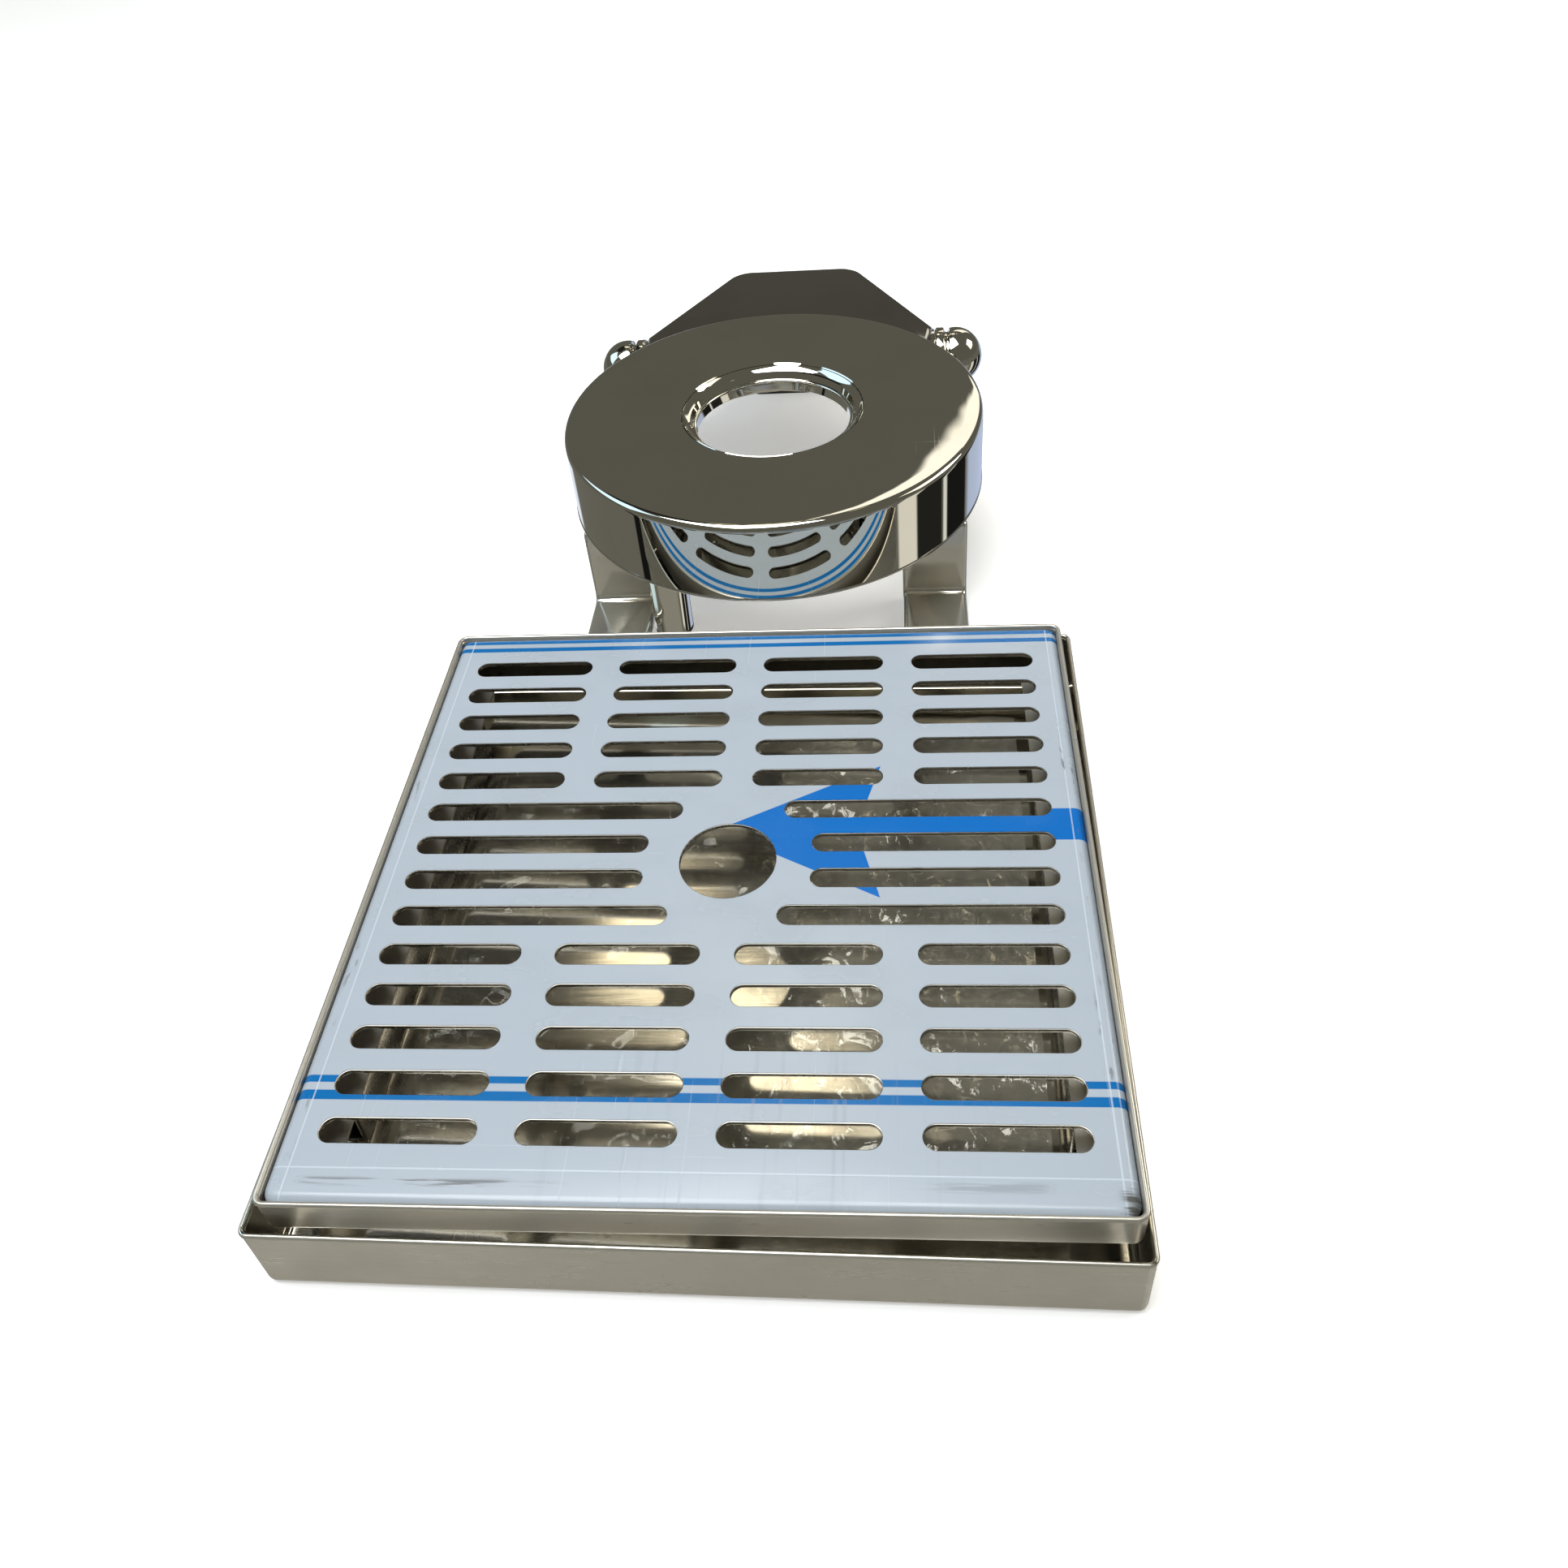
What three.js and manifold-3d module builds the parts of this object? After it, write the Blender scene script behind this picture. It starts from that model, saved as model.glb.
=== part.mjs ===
// A countertop soda fountain: a ring-shaped dispensing head on two strip legs and a rear post, fed by
// a twin rotary valve bar, with a separate square drip tray standing in front of it.
// Millimetres, +Z up. X = 0 is the tray's centre line; the origin is the bottom centre of the whole.

import * as THREE from 'three';
import { mergeVertices } from 'three/addons/utils/BufferGeometryUtils.js';
import Module from 'manifold-3d';

const wasm = await Module();
wasm.setup();

// ---------------------------------------------------------------- driving dimensions
const SHEET = 1.2;             // stainless sheet of the tray
const ROW_PITCH = 13.7;        // spacing of the grille's slot rows
const ORIGIN_Y = 32.66;        // distance from the first slot row back to the origin

const PAN = { width: 222, depth: 228, height: 25, corner: 3, y: -91, turnDeg: -0.7 };
const RAIL = { width: 8, length: 150, offset: 99, wall: 1.5 };
const FRAME = { width: 216, depth: 217.5, bottom: 19.5, top: 32.3, corner: 3.5, flange: 14, y: -90.4 };
const GRILLE = { width: 212.8, depth: 214.2, top: 31, corner: 4.2 };
const FILM = { thickness: 0.3, margin: 3 };
const SLOT = { rows: 14, width: 7, length: 41, columnPitch: 51, outerEnd: 97, arcSteps: 2 };
const LONG_ROWS = { 5: 16, 6: 25, 7: 25, 8: 16 };  // rows with two long slots: distance of inner ends
const FINGER_HOLE = { radius: 14.4, row: 6.5 };
const WRAP = { width: 182, depth: 188, corner: 8, thickness: 0.6, lift: 0.3 };

const HEAD_X = 4;              // the head stands slightly right of the tray's centre line
const RING = { y: 108, radius: 81.5, top: 70.5, bottom: 38.5, wall: 1.5, fillet: 2.5, hole: 35.6 };
const CHANNEL = { inner: 42, outer: 55, bottom: 54, wall: 1.5 };
// The collar's top steps down from the ring's edge over two bevels with a narrow shelf between them.
const COLLAR = {
  bore: 30.1, bottom: 61, wall: 1.5, shelf: 68.2, shelfInner: 32.4, shelfOuter: 33, bevelFoot: 31.2,
  bevelFootZ: 65.6, lipZ: 64.9, underZ: 64.2, flange: 38.5, flangeBottom: 67, flangeTop: 68.7,
};
const MOUNT_PLATE = { inner: 66, outer: 79.7, thickness: 2, fromDeg: 200, toDeg: 340 };
const LEG = { offset: 62, width: 25, thickness: 5, face: 71.5, toe: 46, bend: 2.5 };
const PAD = { thickness: 1.5, inset: 2 };
const COLUMN = { offset: -41.5, y: 60.5, radius: 7.5, bore: 5.5, top: 68.7 };

const BAR = { y: 204, z: 39, radius: 12, bore: 9.5, half: 65.7 };
// The knob's outline as [radius beyond the bar's, distance along the axis]: a collar, a groove, a dome.
const KNOB = { start: 66, end: 87, bore: 3.3, boreEnd: 77 };
const KNOB_OUTLINE = [
  [0, 66], [0.5, 68], [0.5, 70], [-1.5, 70.6], [-1.5, 72], [0.5, 72.8], [0, 78], [-2, 82.5], [-5.5, 85.8],
];
const STEM = { radius: 3, from: 40, to: 76.6 };
const CARTRIDGE = { radius: 9.2, bore: 3.3, from: 41, to: 59.5 };
const SEAL = { from: 60, to: 63, inner: 3.4, outer: 9 };
const DISC = { radius: 8.8, from: 36, to: 39.8 };

const COWL = { bottom: 32.5, top: 53, wall: 1.5, ringGap: 0.5 };
const COWL_OUTLINE = [[58, 165], [63, 192], [65, 206], [28.6, 271.6]];  // right half, front to rear
const BASE_PLATE = { thickness: 1.5, front: 218 };
const POST = { width: 46, depth: 25, y: 257, wall: 1.5, corner: 3, padWall: 4 };
const FEED = { offset: 10, radius: 3.5, hole: 5, bend: 6, steps: 16 };
const BARB = { radius: 3.4, bore: 2, from: 2, to: 11.5 };
const OUTLET = { radius: 3.4, start: [164.6, 57], end: [192.5, 46.5] };
const SCREW = { head: 3, headHeight: 1.5, shank: 1.5, length: 5, hole: 1.8 };
const SCREW_PLACES = { front: [46, 226], rear: [28, 250] };
const CLEARANCE = 0.3;

const LARGE_ROUND = 48;        // facets of the ring shell
const ROUND = 24;              // facets of a middling round
const SMALL_ROUND = 12;        // facets of a small round
const TINY_ROUND = 8;          // facets of a screw

// ---------------------------------------------------------------- solid helpers
function toSolid(geometry) {
  const plain = (geometry.index ? geometry.toNonIndexed() : geometry).clone();
  plain.deleteAttribute('normal');
  plain.deleteAttribute('uv');
  const merged = mergeVertices(plain, 1e-4);
  const corners = merged.index.array;
  const kept = [];
  for (let i = 0; i < corners.length; i += 3) {
    const [a, b, c] = [corners[i], corners[i + 1], corners[i + 2]];
    if (a !== b && b !== c && c !== a) kept.push(a, b, c);
  }
  const points = merged.attributes.position.array;
  if (signedVolume(points, kept) < 0) kept.reverse();
  return new wasm.Manifold(new wasm.Mesh({
    numProp: 3,
    vertProperties: new Float32Array(points),
    triVerts: new Uint32Array(kept),
  }));
}

function signedVolume(points, corners) {
  const [a, b, c] = [new THREE.Vector3(), new THREE.Vector3(), new THREE.Vector3()];
  let six = 0;
  for (let i = 0; i < corners.length; i += 3) {
    a.fromArray(points, corners[i] * 3);
    b.fromArray(points, corners[i + 1] * 3);
    c.fromArray(points, corners[i + 2] * 3);
    six += a.dot(b.cross(c));
  }
  return six / 6;
}

function toGeometry(solid) {
  const mesh = solid.getMesh();
  const geometry = new THREE.BufferGeometry();
  geometry.setAttribute('position', new THREE.BufferAttribute(new Float32Array(mesh.vertProperties), 3));
  geometry.setIndex(new THREE.BufferAttribute(new Uint32Array(mesh.triVerts), 1));
  return geometry;
}

function cut(geometry, ...tools) {
  return toGeometry(tools.reduce((solid, tool) => solid.subtract(toSolid(tool)), toSolid(geometry)));
}

// ---------------------------------------------------------------- shape helpers
function roundedRect(width, depth, radius) {
  const [x, y] = [width / 2, depth / 2];
  const shape = new THREE.Shape();
  shape.absarc(x - radius, -y + radius, radius, -Math.PI / 2, 0);
  shape.absarc(x - radius, y - radius, radius, 0, Math.PI / 2);
  shape.absarc(-x + radius, y - radius, radius, Math.PI / 2, Math.PI);
  shape.absarc(-x + radius, -y + radius, radius, Math.PI, Math.PI * 1.5);
  shape.closePath();
  return shape;
}

function extrude(shape, from, to, curveSegments = 4) {
  const options = { depth: to - from, bevelEnabled: false, curveSegments, steps: 1 };
  return new THREE.ExtrudeGeometry(shape, options).translate(0, 0, from);
}

function polygon(points) {
  return new THREE.Shape(points.map(([x, y]) => new THREE.Vector2(x, y)));
}

// A closed profile of [radius, height] points turned about the vertical axis.
function revolve(profile, segments = ROUND) {
  const points = [...profile, profile[0]].map(([r, z]) => new THREE.Vector2(r, z));
  return new THREE.LatheGeometry(points, segments).rotateX(Math.PI / 2);
}

// A closed profile of [radius, distance] points turned about the X axis; side is -1 or 1.
function revolveAlongX(profile, side, segments = SMALL_ROUND) {
  const geometry = revolve(profile, segments).rotateY(Math.PI / 2);
  return side > 0 ? geometry : geometry.rotateZ(Math.PI);
}

function tubeProfile(inner, outer, from, to) {
  return [[inner, from], [outer, from], [outer, to], [inner, to]];
}

function rodProfile(radius, from, to) {
  return [[0, from], [radius, from], [radius, to], [0, to]];
}

// ---------------------------------------------------------------- materials
function metal(color, roughness) {
  return new THREE.MeshStandardMaterial({ color, roughness, metalness: 1 });
}

function plain(color, roughness) {
  return new THREE.MeshStandardMaterial({ color, roughness, metalness: 0 });
}

const FINISH = {
  mirror: () => metal(0x8f8c80, 0.05),
  satin: () => metal(0x918d80, 0.35),
  brass: () => metal(0xb08d4a, 0.3),
  film: () => plain(0xbbcbd8, 0.35),
  wrap: () => plain(0xc9c6b4, 0.2),
  rubber: () => plain(0x1c1c1c, 0.8),
  ceramic: () => plain(0xe6e2d6, 0.4),
};

function piece(name, geometry, material) {
  const mesh = new THREE.Mesh(geometry, material);
  mesh.name = name;
  return mesh;
}

// ---------------------------------------------------------------- drip tray
function slotShape(centreX, centreY, length) {
  const radius = SLOT.width / 2;
  const reach = length / 2 - radius;
  const points = [];
  for (const side of [1, -1]) {
    for (let step = 0; step <= SLOT.arcSteps; step += 1) {
      const angle = side * (-Math.PI / 2) + (step / SLOT.arcSteps) * Math.PI;
      points.push([centreX + side * reach + radius * Math.cos(angle), centreY + radius * Math.sin(angle)]);
    }
  }
  return polygon(points);
}

// The slots of one row as [centre, length] pairs along X.
function rowSlots(row) {
  const inner = LONG_ROWS[row];
  if (inner !== undefined) {
    const centre = (inner + SLOT.outerEnd) / 2;
    return [-centre, centre].map((x) => [x, SLOT.outerEnd - inner]);
  }
  return [-1.5, -0.5, 0.5, 1.5].map((step) => [step * SLOT.columnPitch, SLOT.length]);
}

function grilleOutline(width, depth) {
  const outline = roundedRect(width, depth, GRILLE.corner);
  for (let row = 0; row < SLOT.rows; row += 1) {
    const y = -row * ROW_PITCH - FRAME.y;
    for (const [x, length] of rowSlots(row)) outline.holes.push(slotShape(x, y, length));
  }
  const holeY = -FINGER_HOLE.row * ROW_PITCH - FRAME.y;
  const rim = [];
  for (let step = 0; step < ROUND; step += 1) {
    const angle = (step / ROUND) * Math.PI * 2;
    rim.push([FINGER_HOLE.radius * Math.cos(angle), holeY + FINGER_HOLE.radius * Math.sin(angle)]);
  }
  outline.holes.push(polygon(rim));
  return outline;
}

function tray() {
  const group = new THREE.Group();
  const turned = new THREE.Group();
  turned.rotation.z = THREE.MathUtils.degToRad(PAN.turnDeg);
  turned.position.y = PAN.y;
  const panInside = roundedRect(PAN.width - 2 * SHEET, PAN.depth - 2 * SHEET, PAN.corner - SHEET);
  const pan = cut(
    extrude(roundedRect(PAN.width, PAN.depth, PAN.corner), 0, PAN.height),
    extrude(panInside, SHEET, PAN.height + 1),
  );
  turned.add(piece('outer_pan', pan, FINISH.satin()));
  for (const side of [-1, 1]) {
    const profile = roundedRect(RAIL.width, FRAME.bottom - SHEET, RAIL.wall);
    profile.holes.push(roundedRect(RAIL.width - 2 * RAIL.wall, FRAME.bottom - SHEET - 2 * RAIL.wall, 0.5));
    const rail = extrude(profile, -RAIL.length / 2, RAIL.length / 2, 1).rotateX(Math.PI / 2);
    rail.translate(side * RAIL.offset, 0, (FRAME.bottom + SHEET) / 2);
    turned.add(piece(side < 0 ? 'left_rail' : 'right_rail', rail, FINISH.satin()));
  }
  const wrap = extrude(roundedRect(WRAP.width, WRAP.depth, WRAP.corner), 0, WRAP.thickness, 2);
  turned.add(piece('pan_wrap', wrap.translate(0, 0, SHEET + WRAP.lift), FINISH.wrap()));
  group.add(turned);

  const still = new THREE.Group();
  still.position.y = FRAME.y;
  const wallInside = roundedRect(FRAME.width - 2 * SHEET, FRAME.depth - 2 * SHEET, FRAME.corner - SHEET);
  const reach = 2 * FRAME.flange;
  const window = roundedRect(FRAME.width - reach, FRAME.depth - reach, FRAME.corner);
  const frame = cut(
    extrude(roundedRect(FRAME.width, FRAME.depth, FRAME.corner), FRAME.bottom, FRAME.top),
    extrude(wallInside, FRAME.bottom + SHEET, FRAME.top + 1),
    extrude(window, FRAME.bottom - 1, FRAME.top),
  );
  still.add(piece('inner_frame', frame, FINISH.satin()));

  const under = roundedRect(GRILLE.width - 2 * SHEET, GRILLE.depth - 2 * SHEET, GRILLE.corner - SHEET);
  const plate = cut(
    extrude(grilleOutline(GRILLE.width, GRILLE.depth), FRAME.bottom + SHEET, GRILLE.top, 3),
    extrude(under, FRAME.bottom, GRILLE.top - SHEET),
  );
  still.add(piece('grille_plate', plate, FINISH.satin()));
  const margin = 2 * FILM.margin;
  const filmOutline = grilleOutline(GRILLE.width - margin, GRILLE.depth - margin);
  const film = extrude(filmOutline, GRILLE.top, GRILLE.top + FILM.thickness, 3);
  still.add(piece('grille_film', film, FINISH.film()));
  group.add(still);
  return group;
}

// ---------------------------------------------------------------- ring head
function ringShellProfile() {
  const { radius, top, bottom, wall, fillet, hole } = RING;
  const profile = [[hole, top]];
  const arcSteps = 3;
  for (let step = 0; step <= arcSteps; step += 1) {
    const angle = (Math.PI / 2) * (1 - step / arcSteps);
    profile.push([radius - fillet + fillet * Math.cos(angle), top - fillet + fillet * Math.sin(angle)]);
  }
  profile.push([radius, bottom], [radius - wall, bottom], [radius - wall, top - fillet]);
  profile.push([radius - fillet, top - wall], [hole, top - wall]);
  return profile;
}

function ringParts() {
  const group = new THREE.Group();
  group.position.set(HEAD_X, RING.y, 0);
  const shell = cut(revolve(ringShellProfile(), LARGE_ROUND), outletTool(OUTLET.radius + 0.8, -RING.y));
  group.add(piece('ring_shell', shell, FINISH.mirror()));

  const edge = RING.hole - CLEARANCE;
  const outside = COLLAR.bore + COLLAR.wall;
  const collar = [
    [edge, RING.top - CLEARANCE], [COLLAR.shelfOuter, COLLAR.shelf], [COLLAR.shelfInner, COLLAR.shelf],
    [COLLAR.bevelFoot, COLLAR.bevelFootZ], [COLLAR.bore, COLLAR.lipZ], [COLLAR.bore, COLLAR.bottom],
    [outside, COLLAR.bottom], [outside, COLLAR.underZ], [COLLAR.flange, COLLAR.flangeBottom],
    [COLLAR.flange, COLLAR.flangeTop], [edge, COLLAR.flangeTop],
  ];
  group.add(piece('ring_collar', revolve(collar), FINISH.mirror()));

  const { inner, outer, bottom, wall } = CHANNEL;
  const ceiling = RING.top - RING.wall;
  const channel = [
    [inner, ceiling], [inner, bottom], [outer, bottom], [outer, ceiling], [outer - wall, ceiling],
    [outer - wall, bottom + wall], [inner + wall, bottom + wall], [inner + wall, ceiling],
  ];
  group.add(piece('flow_channel', revolve(channel), FINISH.satin()));

  const [from, to] = [MOUNT_PLATE.fromDeg, MOUNT_PLATE.toDeg].map(THREE.MathUtils.degToRad);
  const crescent = new THREE.Shape();
  crescent.absarc(0, 0, MOUNT_PLATE.outer, from, to);
  crescent.absarc(0, 0, MOUNT_PLATE.inner, to, from, true);
  crescent.closePath();
  const columnRod = revolve(rodProfile(COLUMN.radius + CLEARANCE, 0, RING.top), ROUND);
  const plate = cut(
    extrude(crescent, RING.bottom, RING.bottom + MOUNT_PLATE.thickness, 14),
    columnRod.translate(COLUMN.offset, COLUMN.y - RING.y, 0),
  );
  group.add(piece('mount_plate', plate, FINISH.satin()));
  return group;
}

// ---------------------------------------------------------------- legs and supply column
function legGeometry() {
  const { face, toe, thickness, bend, width } = LEG;
  const floor = PAD.thickness;
  const shape = new THREE.Shape();
  shape.moveTo(toe, floor);
  shape.lineTo(face + thickness, floor);
  shape.lineTo(face + thickness, RING.bottom);
  shape.lineTo(face, RING.bottom);
  shape.absarc(face - bend, floor + thickness + bend, bend, 0, -Math.PI / 2, true);
  shape.lineTo(toe, floor + thickness);
  shape.closePath();
  const geometry = extrude(shape, -width / 2, width / 2, 4);
  return geometry.rotateX(Math.PI / 2).rotateZ(Math.PI / 2);
}

function stand() {
  const group = new THREE.Group();
  group.position.x = HEAD_X;
  for (const side of [-1, 1]) {
    const label = side < 0 ? 'left' : 'right';
    const leg = legGeometry().translate(side * LEG.offset, 0, 0);
    group.add(piece(`${label}_leg`, leg, FINISH.mirror()));
    const length = LEG.face + LEG.thickness - LEG.toe;
    const padShape = roundedRect(LEG.width - 2 * PAD.inset, length - 2 * PAD.inset, 2);
    const pad = extrude(padShape, 0, PAD.thickness, 2);
    pad.translate(side * LEG.offset, LEG.toe + length / 2, 0);
    group.add(piece(`${label}_pad`, pad, FINISH.rubber()));
  }
  const column = revolve(tubeProfile(COLUMN.bore, COLUMN.radius, PAD.thickness, COLUMN.top));
  group.add(piece('supply_column', column.translate(COLUMN.offset, COLUMN.y, 0), FINISH.mirror()));
  const seal = revolve(tubeProfile(COLUMN.bore, COLUMN.radius, 0, PAD.thickness));
  group.add(piece('column_seal', seal.translate(COLUMN.offset, COLUMN.y, 0), FINISH.rubber()));
  return group;
}

// ---------------------------------------------------------------- valve bar
function knobProfile() {
  const outline = KNOB_OUTLINE.map(([grow, x]) => [BAR.radius + grow, x]);
  return [[KNOB.bore, KNOB.start], ...outline, [0, KNOB.end], [0, KNOB.boreEnd], [KNOB.bore, KNOB.boreEnd]];
}

function valveBar() {
  const group = new THREE.Group();
  group.position.set(HEAD_X, BAR.y, BAR.z);
  const bar = revolveAlongX(tubeProfile(BAR.bore, BAR.radius, -BAR.half, BAR.half), 1, ROUND);
  group.add(piece('valve_bar', bar, FINISH.mirror()));
  for (const side of [-1, 1]) {
    const label = side < 0 ? 'left' : 'right';
    const shapes = [
      ['cartridge', tubeProfile(CARTRIDGE.bore, CARTRIDGE.radius, CARTRIDGE.from, CARTRIDGE.to), FINISH.brass()],
      ['stem_seal', tubeProfile(SEAL.inner, SEAL.outer, SEAL.from, SEAL.to), FINISH.rubber()],
      ['stem', rodProfile(STEM.radius, STEM.from, STEM.to), FINISH.brass()],
      ['valve_disc', rodProfile(DISC.radius, DISC.from, DISC.to), FINISH.ceramic()],
    ];
    for (const [part, profile, material] of shapes) {
      group.add(piece(`${label}_${part}`, revolveAlongX(profile, side), material));
    }
    group.add(piece(`${label}_knob`, revolveAlongX(knobProfile(), side, ROUND), FINISH.mirror()));
  }
  return group;
}

// ---------------------------------------------------------------- neck, post and pipes
// A straight rod from the channel down to the valve bar; the Y offset places it in a moved group.
function outletTool(radius, offsetY) {
  const [from, to] = [OUTLET.start, OUTLET.end];
  const run = Math.hypot(to[0] - from[0], to[1] - from[1]);
  const tilt = Math.atan2(to[1] - from[1], to[0] - from[0]);
  const rod = revolve(rodProfile(radius, 0, run), SMALL_ROUND);
  return rod.rotateX(-(Math.PI / 2 - tilt)).translate(0, from[0] + offsetY, from[1]);
}

function neckOutline(inset) {
  const right = COWL_OUTLINE.map(([x, y], index) => {
    const last = index === COWL_OUTLINE.length - 1;
    return [x - inset, last ? y - inset : y + (index === 0 ? inset : 0)];
  });
  const left = right.map(([x, y]) => [-x, y]).reverse();
  return polygon([...right, ...left]);
}

function barTool(radius) {
  const rod = revolveAlongX(rodProfile(radius, -100, 100), 1, ROUND);
  return rod.translate(0, BAR.y, BAR.z);
}

function ringTool() {
  return revolve(rodProfile(RING.radius + COWL.ringGap, 0, 100), LARGE_ROUND).translate(0, RING.y, 0);
}

function screwPoints() {
  const points = [];
  for (const [place, [x, y]] of Object.entries(SCREW_PLACES)) {
    points.push([`screw_${place}_left`, -x, y], [`screw_${place}_right`, x, y]);
  }
  return points;
}

// The part of the neck's outline that lies behind the valve bar.
function baseOutline() {
  const [[wideX, wideY], [narrowX, narrowY]] = COWL_OUTLINE.slice(-2);
  const share = (BASE_PLATE.front - wideY) / (narrowY - wideY);
  const frontX = wideX + share * (narrowX - wideX);
  return polygon([
    [frontX, BASE_PLATE.front], [narrowX, narrowY], [-narrowX, narrowY], [-frontX, BASE_PLATE.front],
  ]);
}

function neck() {
  const group = new THREE.Group();
  group.position.x = HEAD_X;
  const underside = COWL.bottom - BASE_PLATE.thickness;
  const cowl = cut(
    extrude(neckOutline(0), COWL.bottom, COWL.top),
    extrude(neckOutline(COWL.wall), COWL.bottom - 1, COWL.top - COWL.wall),
    ringTool(),
    barTool(BAR.radius + CLEARANCE),
    outletTool(OUTLET.radius + CLEARANCE, 0),
  );
  group.add(piece('neck_cowl', cowl, FINISH.mirror()));

  const feedHoles = [-1, 1].map((side) => {
    const hole = revolve(rodProfile(FEED.hole, 20, 40), SMALL_ROUND);
    return hole.translate(side * FEED.offset, POST.y, 0);
  });
  const screwHoles = screwPoints().map(([, x, y]) => {
    return revolve(rodProfile(SCREW.hole, 20, 40), TINY_ROUND).translate(x, y, 0);
  });
  const base = cut(
    extrude(baseOutline(), underside, COWL.bottom),
    ...feedHoles,
    ...screwHoles,
  );
  group.add(piece('neck_base', base, FINISH.satin()));

  for (const [name, x, y] of screwPoints()) {
    const profile = [
      [0, underside - SCREW.headHeight], [SCREW.head, underside - SCREW.headHeight], [SCREW.head, underside],
      [SCREW.shank, underside], [SCREW.shank, underside + SCREW.length], [0, underside + SCREW.length],
    ];
    group.add(piece(name, revolve(profile, TINY_ROUND).translate(x, y, 0), FINISH.satin()));
  }

  const outer = roundedRect(POST.width, POST.depth, POST.corner);
  outer.holes.push(roundedRect(POST.width - 2 * POST.wall, POST.depth - 2 * POST.wall, POST.corner - POST.wall));
  const post = extrude(outer, PAD.thickness, underside, 3);
  group.add(piece('rear_post', post.translate(0, POST.y, 0), FINISH.satin()));
  const padOuter = roundedRect(POST.width, POST.depth, POST.corner);
  const padHole = roundedRect(POST.width - 2 * POST.padWall, POST.depth - 2 * POST.padWall, 1);
  padOuter.holes.push(padHole);
  const pad = extrude(padOuter, 0, PAD.thickness, 3);
  group.add(piece('rear_pad', pad.translate(0, POST.y, 0), FINISH.rubber()));

  for (const side of [-1, 1]) {
    const label = side < 0 ? 'left' : 'right';
    const x = side * FEED.offset;
    const path = new THREE.CurvePath();
    const rise = new THREE.Vector3(x, POST.y, BAR.z - FEED.bend);
    const corner = new THREE.Vector3(x, POST.y, BAR.z);
    const level = new THREE.Vector3(x, POST.y - FEED.bend, BAR.z);
    path.add(new THREE.LineCurve3(new THREE.Vector3(x, POST.y, BARB.to + CLEARANCE), rise));
    path.add(new THREE.QuadraticBezierCurve3(rise, corner, level));
    path.add(new THREE.LineCurve3(level, new THREE.Vector3(x, BAR.y + BAR.radius + CLEARANCE, BAR.z)));
    const section = new THREE.Shape();
    section.absarc(0, 0, FEED.radius, 0, Math.PI * 2);
    const options = { steps: FEED.steps, curveSegments: 5, extrudePath: path, bevelEnabled: false };
    const tube = new THREE.ExtrudeGeometry(section, options);
    group.add(piece(`${label}_feed_tube`, tube, FINISH.rubber()));
    const barb = revolve(tubeProfile(BARB.bore, BARB.radius, BARB.from, BARB.to), SMALL_ROUND);
    group.add(piece(`${label}_inlet_barb`, barb.translate(x, POST.y, 0), FINISH.brass()));
  }
  group.add(piece('outlet_pipe', outletTool(OUTLET.radius, 0), FINISH.satin()));
  return group;
}

// ---------------------------------------------------------------- assembly
const fountain = new THREE.Group();
fountain.position.y = -ORIGIN_Y;
fountain.add(tray(), ringParts(), stand(), valveBar(), neck());

export default fountain;
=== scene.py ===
"""The looks of a countertop soda fountain: a mirror-polished ring head and its separate drip tray.

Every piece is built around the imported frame, in metres, with +Z up and the tray towards -Y.
Sizes in the classes are in millimetres and are turned into metres where a mesh is made.
"""

import logging
import math
from dataclasses import dataclass, field
from enum import Enum
from typing import Iterable, Sequence

import bmesh
import bpy
from mathutils import Matrix, Vector, noise


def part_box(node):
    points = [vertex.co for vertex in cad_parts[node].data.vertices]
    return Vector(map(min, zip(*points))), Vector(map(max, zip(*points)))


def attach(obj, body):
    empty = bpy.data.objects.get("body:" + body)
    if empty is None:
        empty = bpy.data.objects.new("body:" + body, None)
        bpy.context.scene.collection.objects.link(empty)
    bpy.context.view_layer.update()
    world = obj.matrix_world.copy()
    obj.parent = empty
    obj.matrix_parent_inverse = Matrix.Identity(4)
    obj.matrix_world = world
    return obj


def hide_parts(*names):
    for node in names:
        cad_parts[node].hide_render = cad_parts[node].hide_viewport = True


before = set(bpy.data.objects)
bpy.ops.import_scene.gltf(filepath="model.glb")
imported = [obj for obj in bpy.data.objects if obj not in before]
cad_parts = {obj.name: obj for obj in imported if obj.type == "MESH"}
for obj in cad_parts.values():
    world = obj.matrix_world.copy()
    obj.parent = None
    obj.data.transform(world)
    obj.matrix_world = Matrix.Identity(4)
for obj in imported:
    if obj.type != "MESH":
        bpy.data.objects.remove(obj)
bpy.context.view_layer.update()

LOG = logging.getLogger("fountain")
MM = 0.001
SMOOTH_ANGLE = math.radians(38)
ROW_Y = 32.66  # how far the first slot row stands in front of the origin
LOOK = "_look"

Triple = tuple[float, float, float]
Colour = Triple
Point = tuple[float, float]
Modifier = tuple[str, dict]


class Body(Enum):
    """The bodies of the frame that pieces ride on."""

    HEAD = "head"
    PAN = "pan"
    FRAME = "frame"
    GRILLE = "grille"
    LEFT_VALVE = "left_valve"
    RIGHT_VALVE = "right_valve"


class Side(Enum):
    """The left and right of a mirrored pair, by the sign of its X."""

    LEFT = -1
    RIGHT = 1

    @property
    def label(self) -> str:
        """The word that begins the names of this side's pieces."""
        return self.name.lower()

    @property
    def valve(self) -> Body:
        """The body of this side's knob."""
        return Body.LEFT_VALVE if self is Side.LEFT else Body.RIGHT_VALVE


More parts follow.
